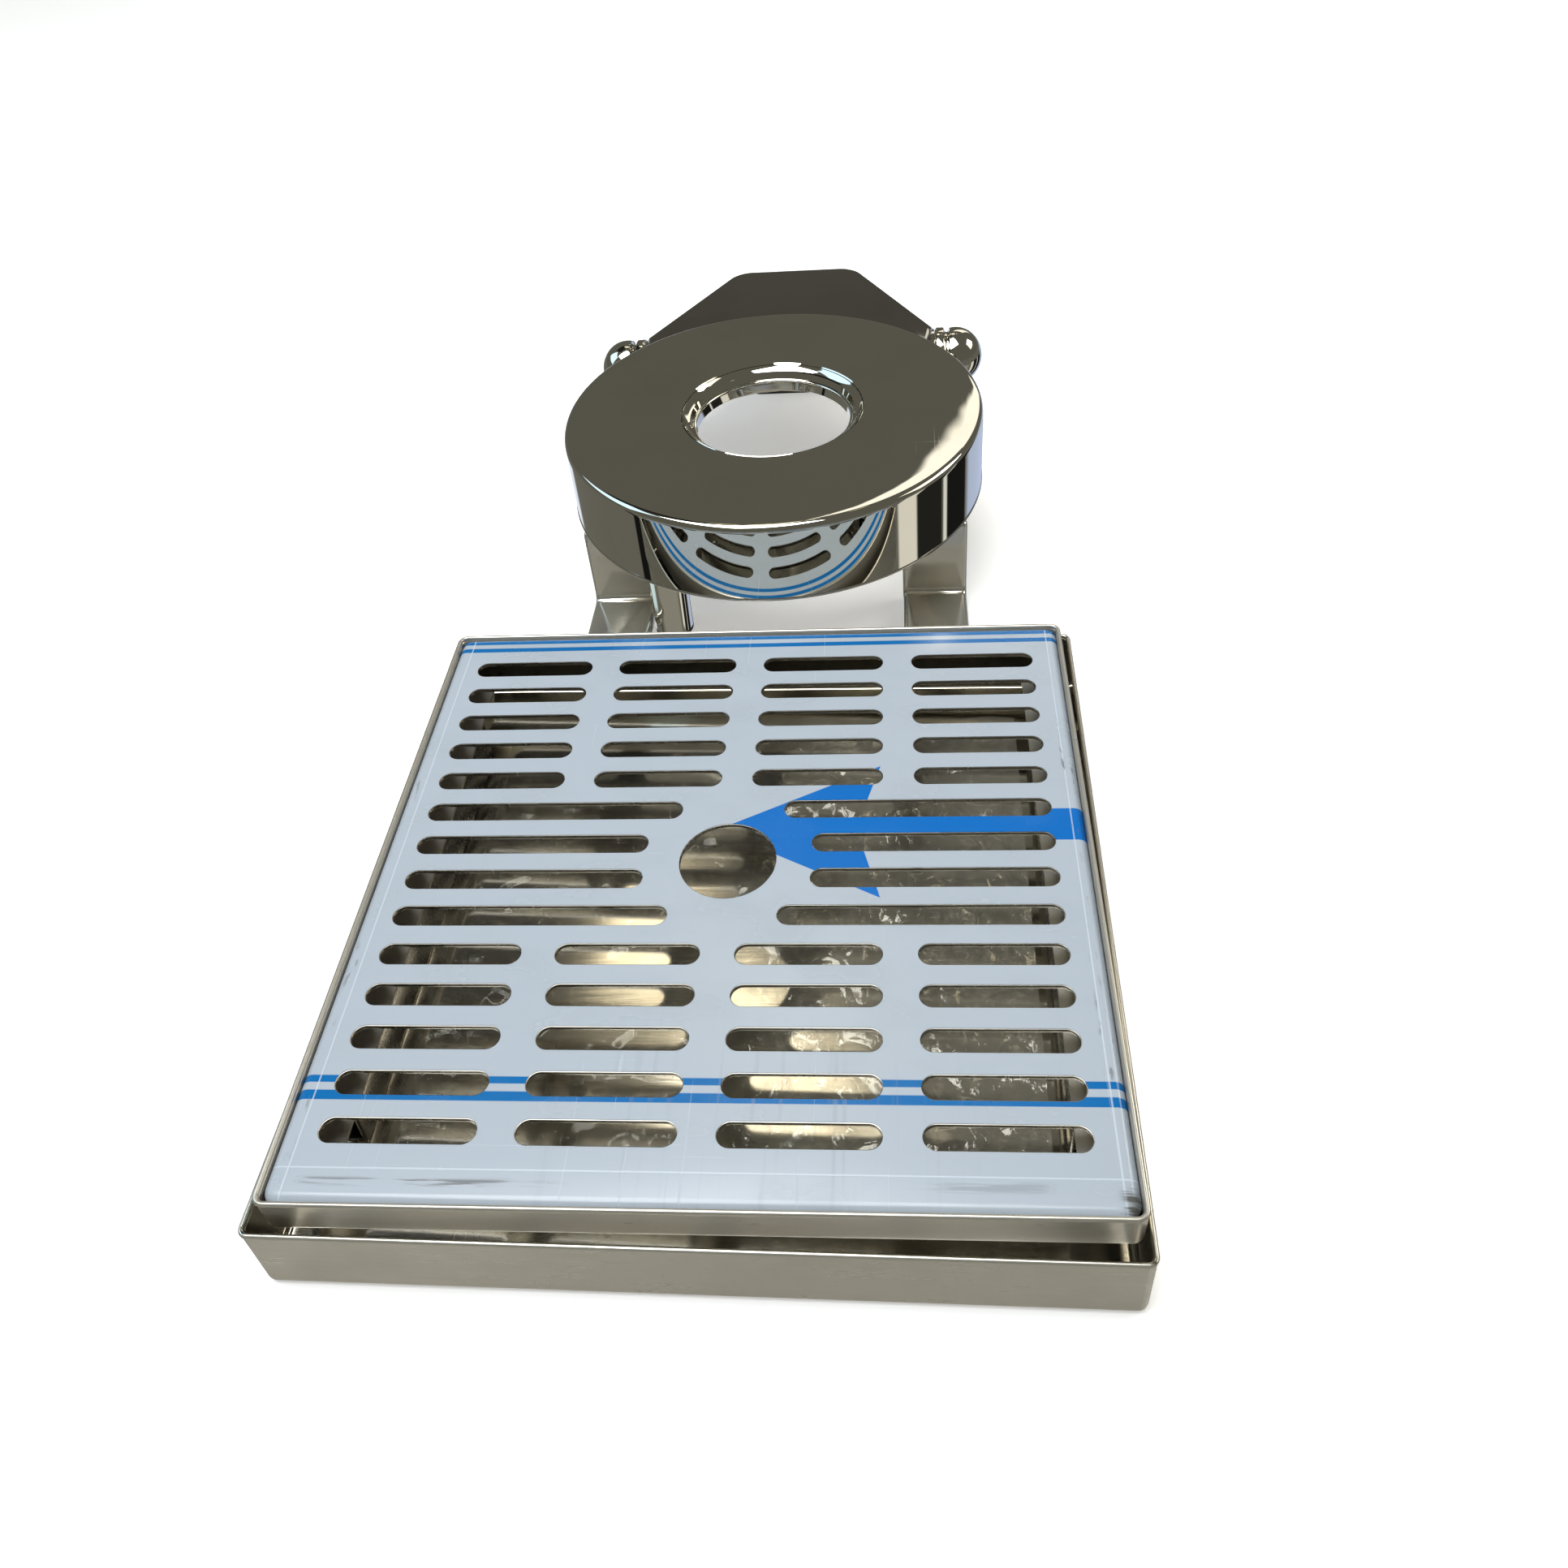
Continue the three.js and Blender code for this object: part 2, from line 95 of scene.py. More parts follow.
# ---------------------------------------------------------------------------- shader maths
class Wire:
    """A shader socket that adds Math nodes when it is used in an expression."""

    def __init__(self, board: "Board", socket: bpy.types.NodeSocket) -> None:
        """Keeps the socket and the board that it is on.

        Args:
            board: The board that new nodes are added to.
            socket: The output socket that this wire starts from.
        """
        self.board = board
        self.socket = socket

    def __add__(self, other: "Wire | float") -> "Wire":
        """Returns this value plus another."""
        return self.board.math("ADD", self, other)

    __radd__ = __add__

    def __mul__(self, other: "Wire | float") -> "Wire":
        """Returns this value times another."""
        return self.board.math("MULTIPLY", self, other)

    __rmul__ = __mul__

    def __sub__(self, other: "Wire | float") -> "Wire":
        """Returns this value less another."""
        return self.board.math("SUBTRACT", self, other)

    def __rsub__(self, other: "Wire | float") -> "Wire":
        """Returns another value less this one."""
        return self.board.math("SUBTRACT", other, self)

    def __abs__(self) -> "Wire":
        """Returns this value without its sign."""
        return self.board.math("ABSOLUTE", self)

    def step(self, low: float, high: float) -> "Wire":
        """Rises smoothly from 0 at low to 1 at high, or falls where low is the larger.

        Args:
            low: The value that gives 0.
            high: The value that gives 1.

        Returns:
            A wire from 0 to 1.
        """
        settings = {"interpolation_type": "SMOOTHSTEP"}
        if low > high:
            return 1 - self.step(high, low)
        inputs = {"Value": self, "From Min": low, "From Max": high}
        return self.board.wire("ShaderNodeMapRange", settings, inputs)

    def band(self, centre: float, half: float, soft: float) -> "Wire":
        """Gives 1 within half of centre and 0 outside, with a soft edge.

        Args:
            centre: The middle of the band.
            half: Half of its width.
            soft: The width of its edge.

        Returns:
            A wire from 0 to 1.
        """
        return abs(self - centre).step(half + soft / 2, half - soft / 2)


class Board:
    """The node tree of a material or of the world."""

    def __init__(self, tree: bpy.types.NodeTree) -> None:
        """Empties the tree.

        Args:
            tree: The node tree to build on.
        """
        self.tree = tree
        tree.nodes.clear()

    def node(self, kind: str, settings: dict | None = None, inputs: dict | None = None) -> bpy.types.Node:
        """Adds a node.

        Args:
            kind: The node's type.
            settings: Its properties, which are set first.
            inputs: Values or wires by the name or number of their socket.

        Returns:
            The node.
        """
        made = self.tree.nodes.new(kind)
        for name, value in (settings or {}).items():
            setattr(made, name, value)
        for key, value in (inputs or {}).items():
            if isinstance(value, Wire):
                self.tree.links.new(value.socket, made.inputs[key])
            else:
                made.inputs[key].default_value = value
        return made

    def wire(self, kind: str, settings: dict | None = None, inputs: dict | None = None,
             output: int | str = 0) -> Wire:
        """Adds a node and returns one of its outputs, with the arguments of node()."""
        return Wire(self, self.node(kind, settings, inputs).outputs[output])

    def math(self, operation: str, *values: "Wire | float") -> Wire:
        """Adds a Math node.

        Args:
            operation: The node's operation.
            values: One value or wire for each of its inputs.

        Returns:
            Its result.
        """
        return self.wire("ShaderNodeMath", {"operation": operation}, dict(enumerate(values)))

    def mix(self, share: "Wire | float", low: "Wire | Colour", high: "Wire | Colour") -> Wire:
        """Mixes two colours.

        Args:
            share: 0 for the first colour and 1 for the second.
            low: The first colour.
            high: The second colour.

        Returns:
            The mixed colour.
        """
        colours = {6 + i: c if isinstance(c, Wire) else (*c, 1) for i, c in enumerate((low, high))}
        return self.wire("ShaderNodeMix", {"data_type": "RGBA"}, {0: share, **colours}, output=2)

    def place(self) -> Wire:
        """Returns the place on the object, in metres."""
        return self.wire("ShaderNodeTexCoord", output="Object")

    def split(self, vector: Wire) -> tuple[Wire, Wire, Wire]:
        """Returns the X, Y and Z of a vector as three wires."""
        made = self.node("ShaderNodeSeparateXYZ", inputs={0: vector})
        return tuple(Wire(self, made.outputs[i]) for i in range(3))

    def cloud(self, place: Wire, scale: Triple, detail: float = 3, turn: float = 0, seed: float = 0) -> Wire:
        """Adds a noise pattern.

        Args:
            place: The place that it is read at.
            scale: Its number of features per metre along each axis.
            detail: How many finer layers it has.
            turn: Its turn about the vertical, in degrees.
            seed: Its offset, which sets apart two patterns of the same scale.

        Returns:
            A wire from about 0.2 to 0.8.
        """
        spots = {"Rotation": (0, 0, math.radians(turn)), "Scale": scale, "Location": (seed, seed, seed)}
        moved = self.wire("ShaderNodeMapping", inputs={"Vector": place, **spots})
        return self.wire("ShaderNodeTexNoise", inputs={"Vector": moved, "Scale": 1.0, "Detail": detail})

    def bump(self, height: Wire, depth: float) -> Wire:
        """Turns a height from 0 to 1 into a normal.

        Args:
            height: The height.
            depth: The depth in metres that a height of 1 stands for.

        Returns:
            The normal.
        """
        return self.wire("ShaderNodeBump", inputs={"Height": height, "Distance": depth, "Strength": 1.0})


def new_material(name: str) -> tuple[bpy.types.Material, Board]:
    """Makes an empty material.

    Args:
        name: Its name.

    Returns:
        The material and the board of its nodes.
    """
    material = bpy.data.materials.new(name)
    material.use_nodes = True
    return material, Board(material.node_tree)


def close(board: Board, shader: dict) -> None:
    """Ends a material in one Principled shader.

    Args:
        board: The material's board.
        shader: The shader's socket values and wires.
    """
    made = board.wire("ShaderNodeBsdfPrincipled", inputs=shader, output="BSDF")
    board.node("ShaderNodeOutputMaterial", inputs={"Surface": made})


# ---------------------------------------------------------------------------- finishes
@dataclass(frozen=True)
class MetalFinish:
    """Polished or brushed metal with grain, smudges, hairline scratches and dust."""

    name: str
    tint: Colour
    smudge: Colour
    roughness: float
    grain: Triple = (60, 900, 900)
    grain_spread: float = 0.03
    grain_depth: float = 0.0
    scratches: float = 0.10
    dust: float = 0.25
    polished_inside: tuple[Point, float, float] | None = None  # half size, turn in degrees, middle's Y
    metallic: float = 1.0
    dust_tint: Colour = (0.62, 0.60, 0.54)

    def _inside(self, board: Board, place: Wire) -> Wire:
        """Masks the polished inside of a turned tray.

        Args:
            board: The material's board.
            place: The place on the object.

        Returns:
            A wire that is 1 within the tray's inner half size and 0 outside it.
        """
        half, turn, middle = self.polished_inside
        soft = 0.2
        angle = math.radians(turn)
        shift = (middle * MM * math.sin(angle), -middle * MM * math.cos(angle), 0)
        spots = {"Vector": place, "Rotation": (0, 0, angle), "Location": shift}
        level = board.wire("ShaderNodeMapping", inputs=spots)
        x, y, _ = (abs(part) * 1000 for part in board.split(level))
        return x.step(half[0] + soft, half[0] - soft) * y.step(half[1] + soft, half[1] - soft)

    def material(self) -> bpy.types.Material:
        """Makes the material.

        Returns:
            The material.
        """
        made, board = new_material(self.name + LOOK)
        place = board.place()
        grain = board.cloud(place, self.grain, 4)
        smudge = board.cloud(place, (26, 26, 26), 5, seed=3).step(0.45, 0.75)
        hair = board.cloud(place, (900, 14, 30), 2, turn=28, seed=7).step(0.66, 0.72)
        hair_across = board.cloud(place, (16, 1100, 30), 2, turn=-17, seed=11).step(0.67, 0.73)
        scratch = (hair + hair_across) * board.cloud(place, (12, 12, 12), 2, seed=5).step(0.48, 0.62)
        cells = {"Vector": place, "Scale": 210.0, "Randomness": 1.0}
        speck = board.wire("ShaderNodeTexVoronoi", {"feature": "F1"}, cells).step(0.075, 0.04)
        speck = speck * board.cloud(place, (70, 70, 70), 1, seed=9).step(0.60, 0.66) * self.dust
        smear = smudge * (0.25 * self.grain_spread + 0.012)
        rough = self.roughness + (grain - 0.5) * self.grain_spread + smear
        metallic = self.metallic
        if self.polished_inside is not None:
            inside = self._inside(board, place)
            rough = rough * (1 - inside * 0.72)
            metallic = self.metallic + inside * (1.0 - self.metallic)
        rough = rough + scratch * self.scratches + speck * 0.4
        colour = board.mix(smudge * 0.6 + (grain - 0.5) * 0.35, self.tint, self.smudge)
        colour = board.mix(speck, colour, self.dust_tint)
        shader = {"Base Color": colour, "Roughness": rough, "Metallic": metallic}
        if self.grain_depth:
            shader["Normal"] = board.bump(grain + scratch * 0.5, self.grain_depth * MM)
        close(board, shader)
        return made


@dataclass(frozen=True)
class PlainFinish:
    """Rubber or ceramic: one colour with a mottle and a fine texture."""

    name: str
    tint: Colour
    mottle: Colour
    roughness: float
    depth: float = 0.02

    def material(self) -> bpy.types.Material:
        """Makes the material.

        Returns:
            The material.
        """
        made, board = new_material(self.name + LOOK)
        place = board.place()
        fine = board.cloud(place, (900, 900, 900), 3)
        broad = board.cloud(place, (60, 60, 60), 4).step(0.35, 0.7)
        shader = {
            "Base Color": board.mix(broad, self.tint, self.mottle),
            "Roughness": self.roughness + (fine - 0.5) * 0.2,
            "Normal": board.bump(fine, self.depth * MM),
        }
        close(board, shader)
        return made


@dataclass(frozen=True)
class FilmFinish:
    """The printed protective film: pale, with two pairs of blue lines and a blue arrow."""

    name: str = "printed_film"
    tint: Colour = (0.385, 0.430, 0.485)
    worn: Colour = (0.325, 0.365, 0.405)
    blue: Colour = (0.002, 0.125, 0.36)
    arrow_blue: Colour = (0.0, 0.125, 0.44)
    scuff: Colour = (0.07, 0.07, 0.065)
    scratch_tint: Colour = (0.52, 0.58, 0.64)
    streak_tint: Colour = (0.25, 0.28, 0.33)
    score_tint: Colour = (0.60, 0.66, 0.74)
    line_places: tuple[Point, ...] = ((-17.9, 0.95), (-22.0, 1.05), (-196.1, 1.05), (-200.8, 1.4))
    arrow_tip: Point = (-4.5, -109.6)
    arrow_barb: Point = (45.4, 26.6)
    arrow_notch: Point = (41.5, 12.4)
    shaft: Point = (-108.2, 6.3)
    scores: Triple = (-101.5, 102.6, -221.0)
    score_half: float = 0.22
    score_soft: float = 0.2

    def _print(self, board: Board, x: Wire, y: Wire) -> tuple[Wire, Wire]:
        """Draws the lines and the arrow.

        Args:
            board: The material's board.
            x: The place across, in millimetres.
            y: The place from front to rear, in millimetres.

        Returns:
            The masks of the lines and of the arrow.
        """
        lines = sum((y.band(centre, half, 0.25) for centre, half in self.line_places[1:]),
                    y.band(*self.line_places[0], 0.25))
        drop = abs(y - self.arrow_tip[1])
        barb_x, barb_drop = self.arrow_barb
        notch_x, notch_drop = self.arrow_notch
        slope = barb_drop / (barb_x - self.arrow_tip[0])
        outer = ((x - self.arrow_tip[0]) * slope - drop).step(-0.1, 0.1)
        lean = (barb_x - notch_x) / (barb_drop - notch_drop)
        inner = ((drop - notch_drop) * lean + notch_x - x).step(-0.1, 0.1)
        shaft = y.band(self.shaft[0], self.shaft[1], 0.2) * x.step(notch_x - 8, notch_x - 7.8)
        return lines, board.math("MAXIMUM", outer * inner, shaft)

    def _scores(self, board: Board, x: Wire, y: Wire) -> Wire:
        """Masks the cut lines that run along the film's edges.

        Args:
            board: The material's board.
            x: The place across, in millimetres.
            y: The place from front to rear, in millimetres.

        Returns:
            A wire that is 1 on the lines.
        """
        left, right, front = self.scores
        places = ((x, left), (x, right), (y, front))
        cuts = [along.band(place, self.score_half, self.score_soft) for along, place in places]
        return board.math("MAXIMUM", board.math("MAXIMUM", cuts[0], cuts[1]), cuts[2])

    def _scuffs(self, board: Board, place: Wire, x: Wire, y: Wire) -> Wire:
        """Masks the dark rubbed marks near the front and side edges.

        Args:
            board: The material's board.
            place: The place on the object.
            x: The place across, in millimetres.
            y: The place from front to rear, in millimetres.

        Returns:
            A wire that is 1 on the marks.
        """
        spots = board.cloud(place, (60, 1100, 200), 5, seed=2).step(0.46, 0.58)
        front = y.band(-224.4, 0.9, 1.4) * x.step(-100, -94) * x.step(-28, -52)
        patches = board.cloud(place, (30, 30, 30), 2, seed=4).step(0.5, 0.6)
        front = front + y.band(-223.6, 1.2, 1.4) * x.step(20, 40) * patches * 0.45
        spots = spots + x.step(101, 105) * y.step(-222, -226)
        front = board.math("MAXIMUM", front, x.step(100, 104) * y.step(-221, -225))
        dots = board.cloud(place, (700, 160, 200), 5, seed=6).step(0.58, 0.68)
        sides = x.band(103.6, 1.6, 1.4) + x.band(-103.4, 1.4, 1.4) * 0.6
        sides = sides * board.cloud(place, (20, 20, 20), 2, seed=8).step(0.44, 0.56)
        return spots * front + dots * sides

    def material(self) -> bpy.types.Material:
        """Makes the material.

        Returns:
            The material.
        """
        made, board = new_material(self.name + LOOK)
        place = board.place()
        x, y, _ = (part * 1000 for part in board.split(place))
        lines, arrow = self._print(board, x, y)
        score = self._scores(board, x, y)
        scuff = self._scuffs(board, place, x, y)
        mottle = board.cloud(place, (35, 60, 35), 5, seed=1).step(0.42, 0.78)
        hair = board.cloud(place, (700, 9, 30), 2, turn=24, seed=12).step(0.675, 0.70)
        hair_across = board.cloud(place, (9, 800, 30), 2, turn=-31, seed=14).step(0.675, 0.70)
        scratch = (hair + hair_across) * board.cloud(place, (14, 14, 14), 2, seed=16).step(0.54, 0.64)
        streaks = board.cloud(place, (420, 12, 30), 3, turn=-4, seed=21).step(0.55, 0.72)
        streaks = streaks * y.step(-165, -205) * x.band(12, 45, 50)
        colour = board.mix(mottle * 0.45, self.tint, self.worn)
        colour = board.mix(lines, colour, self.blue)
        colour = board.mix(arrow, colour, self.arrow_blue)
        colour = board.mix(scratch * 0.12, colour, self.scratch_tint)
        colour = board.mix(streaks * 0.30, colour, self.streak_tint)
        colour = board.mix(score * 0.5, colour, self.score_tint)
        colour = board.mix(scuff * 0.75, colour, self.scuff)
        ripple = board.cloud(place, (60, 45, 20), 3, seed=18)
        height = ripple * 0.5 - score * 1.2 - scratch * 0.3
        shader = {
            "Base Color": colour,
            "Roughness": 0.21 + mottle * 0.12 + scratch * 0.2 + scuff * 0.3,
            "Normal": board.bump(height, 0.05 * MM),
            "Specular IOR Level": 0.5,
        }
        close(board, shader)
        return made


@dataclass(frozen=True)
class WrapFinish:
    """Clear crumpled film: mostly see-through, glossy, with a warm cast at its creases."""

    name: str = "clear_wrap"
    tint: Colour = (0.72, 0.68, 0.56)
    haze_tint: Colour = (0.40, 0.37, 0.31)
    roughness: float = 0.07

    def material(self) -> bpy.types.Material:
        """Makes the material.

        Returns:
            The material.
        """
        made, board = new_material(self.name + LOOK)
        place = board.place()
        haze = board.cloud(place, (120, 120, 120), 5).step(0.4, 0.75)
        crease = board.cloud(place, (400, 260, 300), 4, turn=35).step(0.5, 0.7)
        # The wrap grows more opaque towards +X, which makes the right of the pan look lighter.
        opaque_to_right = board.split(place)[0].step(-0.055, 0.055)
        shader = {
            "Base Color": board.mix(haze, self.tint, self.haze_tint),
            "Roughness": self.roughness + haze * 0.08,
            "Alpha": 0.05 + (haze * 0.16 + crease * 0.14 + 0.16) * (opaque_to_right + 0.10),
            "Normal": board.bump(crease, 0.10 * MM),
            "Specular IOR Level": 1.0,
            "Metallic": 0.35,
        }
        close(board, shader)
        return made


class Slot(Enum):
    """The record's material slots and the finish that each has here."""

    MIRROR = MetalFinish("mirror_steel", (0.66, 0.645, 0.58), (0.60, 0.58, 0.50), 0.014, (40, 40, 40), 0.01,
                         scratches=0.05, dust=0.30)
    # Mirror steel drawn darker: painted shade for the neck cowl, whose top mirrors darker surroundings than
    # the drum's top.
    DARK_MIRROR = MetalFinish("dark_mirror_steel", (0.36, 0.345, 0.32), (0.30, 0.28, 0.25), 0.05,
                              (40, 40, 40), 0.03, scratches=0.06, dust=0.2)
    SATIN = MetalFinish("satin_steel", (0.60, 0.57, 0.50), (0.50, 0.47, 0.41), 0.30, (50, 700, 900), 0.14,
                        0.012, 0.12, 0.15, metallic=0.8)
    PAN = MetalFinish("pan_steel", (0.62, 0.59, 0.52), (0.52, 0.49, 0.43), 0.29, (50, 700, 900), 0.12, 0.004,
                      0.04, 0.15, polished_inside=((110.05, 113.05), 0.7, -123.66), metallic=0.8)
    # Satin steel drawn at half its brightness: painted shade for the shaded walls of the slots; the rails
    # take it too.
    GRILLE = MetalFinish("grille_steel", (0.30, 0.285, 0.25), (0.25, 0.24, 0.21), 0.26, (50, 700, 900), 0.10,
                         0.006, 0.06, 0.10)
    LEG = MetalFinish("leg_steel", (0.66, 0.64, 0.57), (0.58, 0.56, 0.49), 0.13, (40, 60, 300), 0.05, 0.0,
                      0.05, 0.20, metallic=0.84)
    BRASS = MetalFinish("valve_brass", (0.69, 0.48, 0.17), (0.48, 0.32, 0.11), 0.26, (900, 60, 60), 0.12,
                        0.012, 0.10, 0.2)
    RUBBER = PlainFinish("black_rubber", (0.020, 0.020, 0.021), (0.034, 0.033, 0.031), 0.72)
    CERAMIC = PlainFinish("white_ceramic", (0.78, 0.75, 0.68), (0.70, 0.66, 0.58), 0.30, 0.004)
    FILM = FilmFinish()
    WRAP = WrapFinish()

    @property
    def record_name(self) -> str:
        """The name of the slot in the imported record."""
        return {"DARK_MIRROR": "mirror_steel", "LEG": "mirror_steel", "PAN": "satin_steel",
                "GRILLE": "satin_steel"}.get(self.name, self.value.name)

    def material(self) -> bpy.types.Material:
        """Returns the slot's material, made once."""
        return bpy.data.materials.get(self.value.name + LOOK) or self.value.material()


# ---------------------------------------------------------------------------- mesh tools
def verts_of(geom: Iterable) -> list[bmesh.types.BMVert]:
    """Returns the vertices among the results of a mesh operator."""
    return [g for g in geom if isinstance(g, bmesh.types.BMVert)]


def edges_of(geom: Iterable) -> list[bmesh.types.BMEdge]:
    """Returns the edges among the results of a mesh operator."""
    return [g for g in geom if isinstance(g, bmesh.types.BMEdge)]


def edges_at(verts: Iterable[bmesh.types.BMVert]) -> list[bmesh.types.BMEdge]:
    """Returns the edges that meet at the vertices, each once and always in the same order."""
    return list(dict.fromkeys(edge for vert in verts for edge in vert.link_edges))


def linked(name: str, data: bpy.types.ID) -> bpy.types.Object:
    """Adds an object to the scene.

    Args:
        name: Its name.
        data: Its mesh, light or camera.

    Returns:
        The object.
    """
    made = bpy.data.objects.new(name, data)
    bpy.context.scene.collection.objects.link(made)
    return made


def meshed(name: str, bm: bmesh.types.BMesh) -> bpy.types.Object:
    """Adds an object that holds a mesh, and frees the mesh that it was made from.

    Args:
        name: The object's name.
        bm: The mesh.

    Returns:
        The object.
    """
    mesh = bpy.data.meshes.new(name)
    bm.to_mesh(mesh)
    bm.free()
    return linked(name, mesh)


def arc(centre: Point, radius: float, start: float, end: float, steps: int = 6) -> list[Point]:
    """Points on an arc of a profile.

    Args:
        centre: The arc's centre.
        radius: Its radius.
        start: The angle that it starts at, in degrees.
        end: The angle that it ends at.
        steps: How many stretches it has.

    Returns:
        The points, both ends included.
    """
    angles = [math.radians(start + (end - start) * i / steps) for i in range(steps + 1)]
    return [(centre[0] + radius * math.cos(a), centre[1] + radius * math.sin(a)) for a in angles]


def tube(inner: float, outer: float, low: float, high: float, edge: float = 0.4) -> list[Point]:
    """A tube's closed profile with rounded edges.

    Args:
        inner: The bore's radius.
        outer: The outer radius.
        low: Where it starts along its axis.
        high: Where it ends.
        edge: The radius of its edges.

    Returns:
        The profile as [radius, distance] points.
    """
    corners = [(inner + edge, low + edge, 180, 270), (outer - edge, low + edge, 270, 360),
               (outer - edge, high - edge, 0, 90), (inner + edge, high - edge, 90, 180)]
    return [p for r, z, a, b in corners for p in arc((r, z), edge, a, b, 3)]


def rod(radius: float, low: float, high: float, edge: float = 0.4) -> list[Point]:
    """A solid rod's profile with rounded edges.

    Args:
        radius: The rod's radius.
        low: Where it starts along its axis.
        high: Where it ends.
        edge: The radius of its edges.

    Returns:
        The profile as [radius, distance] points, both ends on the axis.
    """
    rims = [(low + edge, 270, 360), (high - edge, 0, 90)]
    round_points = [p for z, a, b in rims for p in arc((radius - edge, z), edge, a, b, 3)]
    return [(0, low), *round_points, (0, high)]


def turned(profile: Sequence[Point], centre: Vector, closed: bool, axis: str = "Z", side: int = 1,
           steps: int = 96) -> bmesh.types.BMesh:
    """Turns a profile about an axis.

    Args:
        profile: [radius, distance] points in millimetres.
        centre: Where the axis's zero is, in metres.
        closed: True where the last point joins the first.
        axis: "Z" for upright or "X" for lying across.
        side: The sign of the direction that distance runs in.
        steps: The number of facets.

    Returns:
        The mesh.
    """
    bm = bmesh.new()
    verts = [bm.verts.new((r * MM, 0, z * MM)) for r, z in profile]
    pairs = list(zip(verts, verts[1:])) + ([(verts[-1], verts[0])] if closed else [])
    edges = [bm.edges.new(pair) for pair in pairs]
    bmesh.ops.spin(bm, geom=verts + edges, cent=(0, 0, 0), axis=(0, 0, 1), angle=math.tau, steps=steps,
                   use_merge=True)
    bmesh.ops.remove_doubles(bm, verts=bm.verts, dist=1e-7)
    if axis == "X":
        quarter = Matrix.Rotation(side * math.pi / 2, 3, "Y")
        bmesh.ops.rotate(bm, verts=bm.verts, cent=(0, 0, 0), matrix=quarter)
    bmesh.ops.translate(bm, verts=bm.verts, vec=centre)
    bmesh.ops.recalc_face_normals(bm, faces=bm.faces)
    return bm


@dataclass(frozen=True)
class Level:
    """One loop of a rounded rectangle that is part of a tray's section, in millimetres."""

    inset: float
    height: float
    corner: float | None = None


def rounded_loop(bm: bmesh.types.BMesh, half: Point, corner: float, height: float,
                 corner_steps: int = 8) -> list[bmesh.types.BMEdge]:
    """Adds a rounded rectangle: a circle whose four quarters are pulled apart.

    Args:
        bm: The mesh that it is added to.
        half: Half of the width and half of the depth, in millimetres.
        corner: The corners' radius.
        height: Its height.
        corner_steps: How many points a corner has.

    Returns:
        The loop's edges.
    """
    count = 4 * corner_steps
    turn = Matrix.Rotation(math.pi / count, 4, "Z")
    made = bmesh.ops.create_circle(bm, cap_ends=False, segments=count, radius=corner * MM, matrix=turn)
    for vert in made["verts"]:
        vert.co.x += math.copysign(half[0] - corner, vert.co.x) * MM
        vert.co.y += math.copysign(half[1] - corner, vert.co.y) * MM
        vert.co.z = height * MM
    return edges_at(made["verts"])


def tray_loops(bm: bmesh.types.BMesh, half: Point, corner: float,
               levels: Iterable[Level]) -> list[list[bmesh.types.BMEdge]]:
    """Adds the loops of a tray's section and bridges each to the next.

    Args:
        bm: The mesh that they are added to.
        half: Half of the tray's width and depth, in millimetres.
        corner: Its outer corners' radius.
        levels: The section's points.

    Returns:
        The edges of each loop.
    """
    loops = []
    for level in levels:
        radius = level.corner or max(corner - level.inset, 0.9)
        size = (half[0] - level.inset, half[1] - level.inset)
        loops.append(rounded_loop(bm, size, radius, level.height))
    for low, high in zip(loops, loops[1:]):
        bmesh.ops.bridge_loops(bm, edges=low + high)
    return loops


def hem(outer: float, inner: float, top: float) -> list[Level]:
    """The rolled lip on a sheet wall.

    Args:
        outer: The wall's outer face, as an inset.
        inner: Its inner face.
        top: The lip's highest point.

    Returns:
        The levels from the outer face over the lip to the inner one.
    """
    shift, swell, rise = 0.12, 0.15, 0.75
    middle, reach = (outer + inner) / 2 - shift, (inner - outer) / 2 + swell
    # No two neighbouring levels stand at the same height, because those would be bridged by a flat lid.
    lip = [Level(middle - reach * math.cos(a), top - rise + rise * math.sin(a))
           for a in (math.radians(d) for d in range(-45, 226, 15))]
    return [Level(outer, top - 2 * rise), *lip, Level(inner, top - 2 * rise)]


def set_down(bm: bmesh.types.BMesh, node: str, turn: float = 0.0) -> None:
    """Turns a mesh about the vertical and moves it over the middle of a CAD node.

    Args:
        bm: The mesh, centred on the origin.
        node: The CAD node.
        turn: The turn, in degrees.
    """
    middle = centre_of(node)
    if turn:
        about = Matrix.Rotation(math.radians(turn), 3, "Z")
        bmesh.ops.rotate(bm, verts=bm.verts, cent=(0, 0, 0), matrix=about)
    bmesh.ops.translate(bm, verts=bm.verts, vec=(middle.x, middle.y, 0))


def to_piece(name: str, bm: bmesh.types.BMesh, body: Body, slot: Slot, nodes: Sequence[str],
             modifiers: Sequence[Modifier] = ()) -> bpy.types.Object:
    """Turns a mesh into a finished piece that stands for CAD nodes.

    Args:
        name: The piece's name.
        bm: Its mesh, in place.
        body: The body that it rides on.
        slot: Its material slot.
        nodes: The CAD nodes that it stands for.
        modifiers: Modifier types with their settings, which are applied.

    Returns:
        The piece.
    """
    piece = meshed(name, bm)
    for number, (kind, settings) in enumerate(modifiers):
        modifier = piece.modifiers.new(f"{kind.lower()}_{number}", kind)
        for key, value in settings.items():
            setattr(modifier, key, value)
    if modifiers:
        depsgraph = bpy.context.evaluated_depsgraph_get()
        piece.data = bpy.data.meshes.new_from_object(piece.evaluated_get(depsgraph))
        piece.modifiers.clear()
    piece.data.shade_smooth()
    piece.data.set_sharp_from_angle(angle=SMOOTH_ANGLE)
    piece.data.materials.clear()
    piece.data.materials.append(slot.material())
    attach(piece, body.value)
    if nodes:
        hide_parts(*nodes)
    LOG.info("%s: %d faces on %s", name, len(piece.data.polygons), body.value)
    return piece


def centre_of(node: str) -> Vector:
    """Returns the middle of a CAD node's box, in metres."""
    low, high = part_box(node)
    return (low + high) / 2


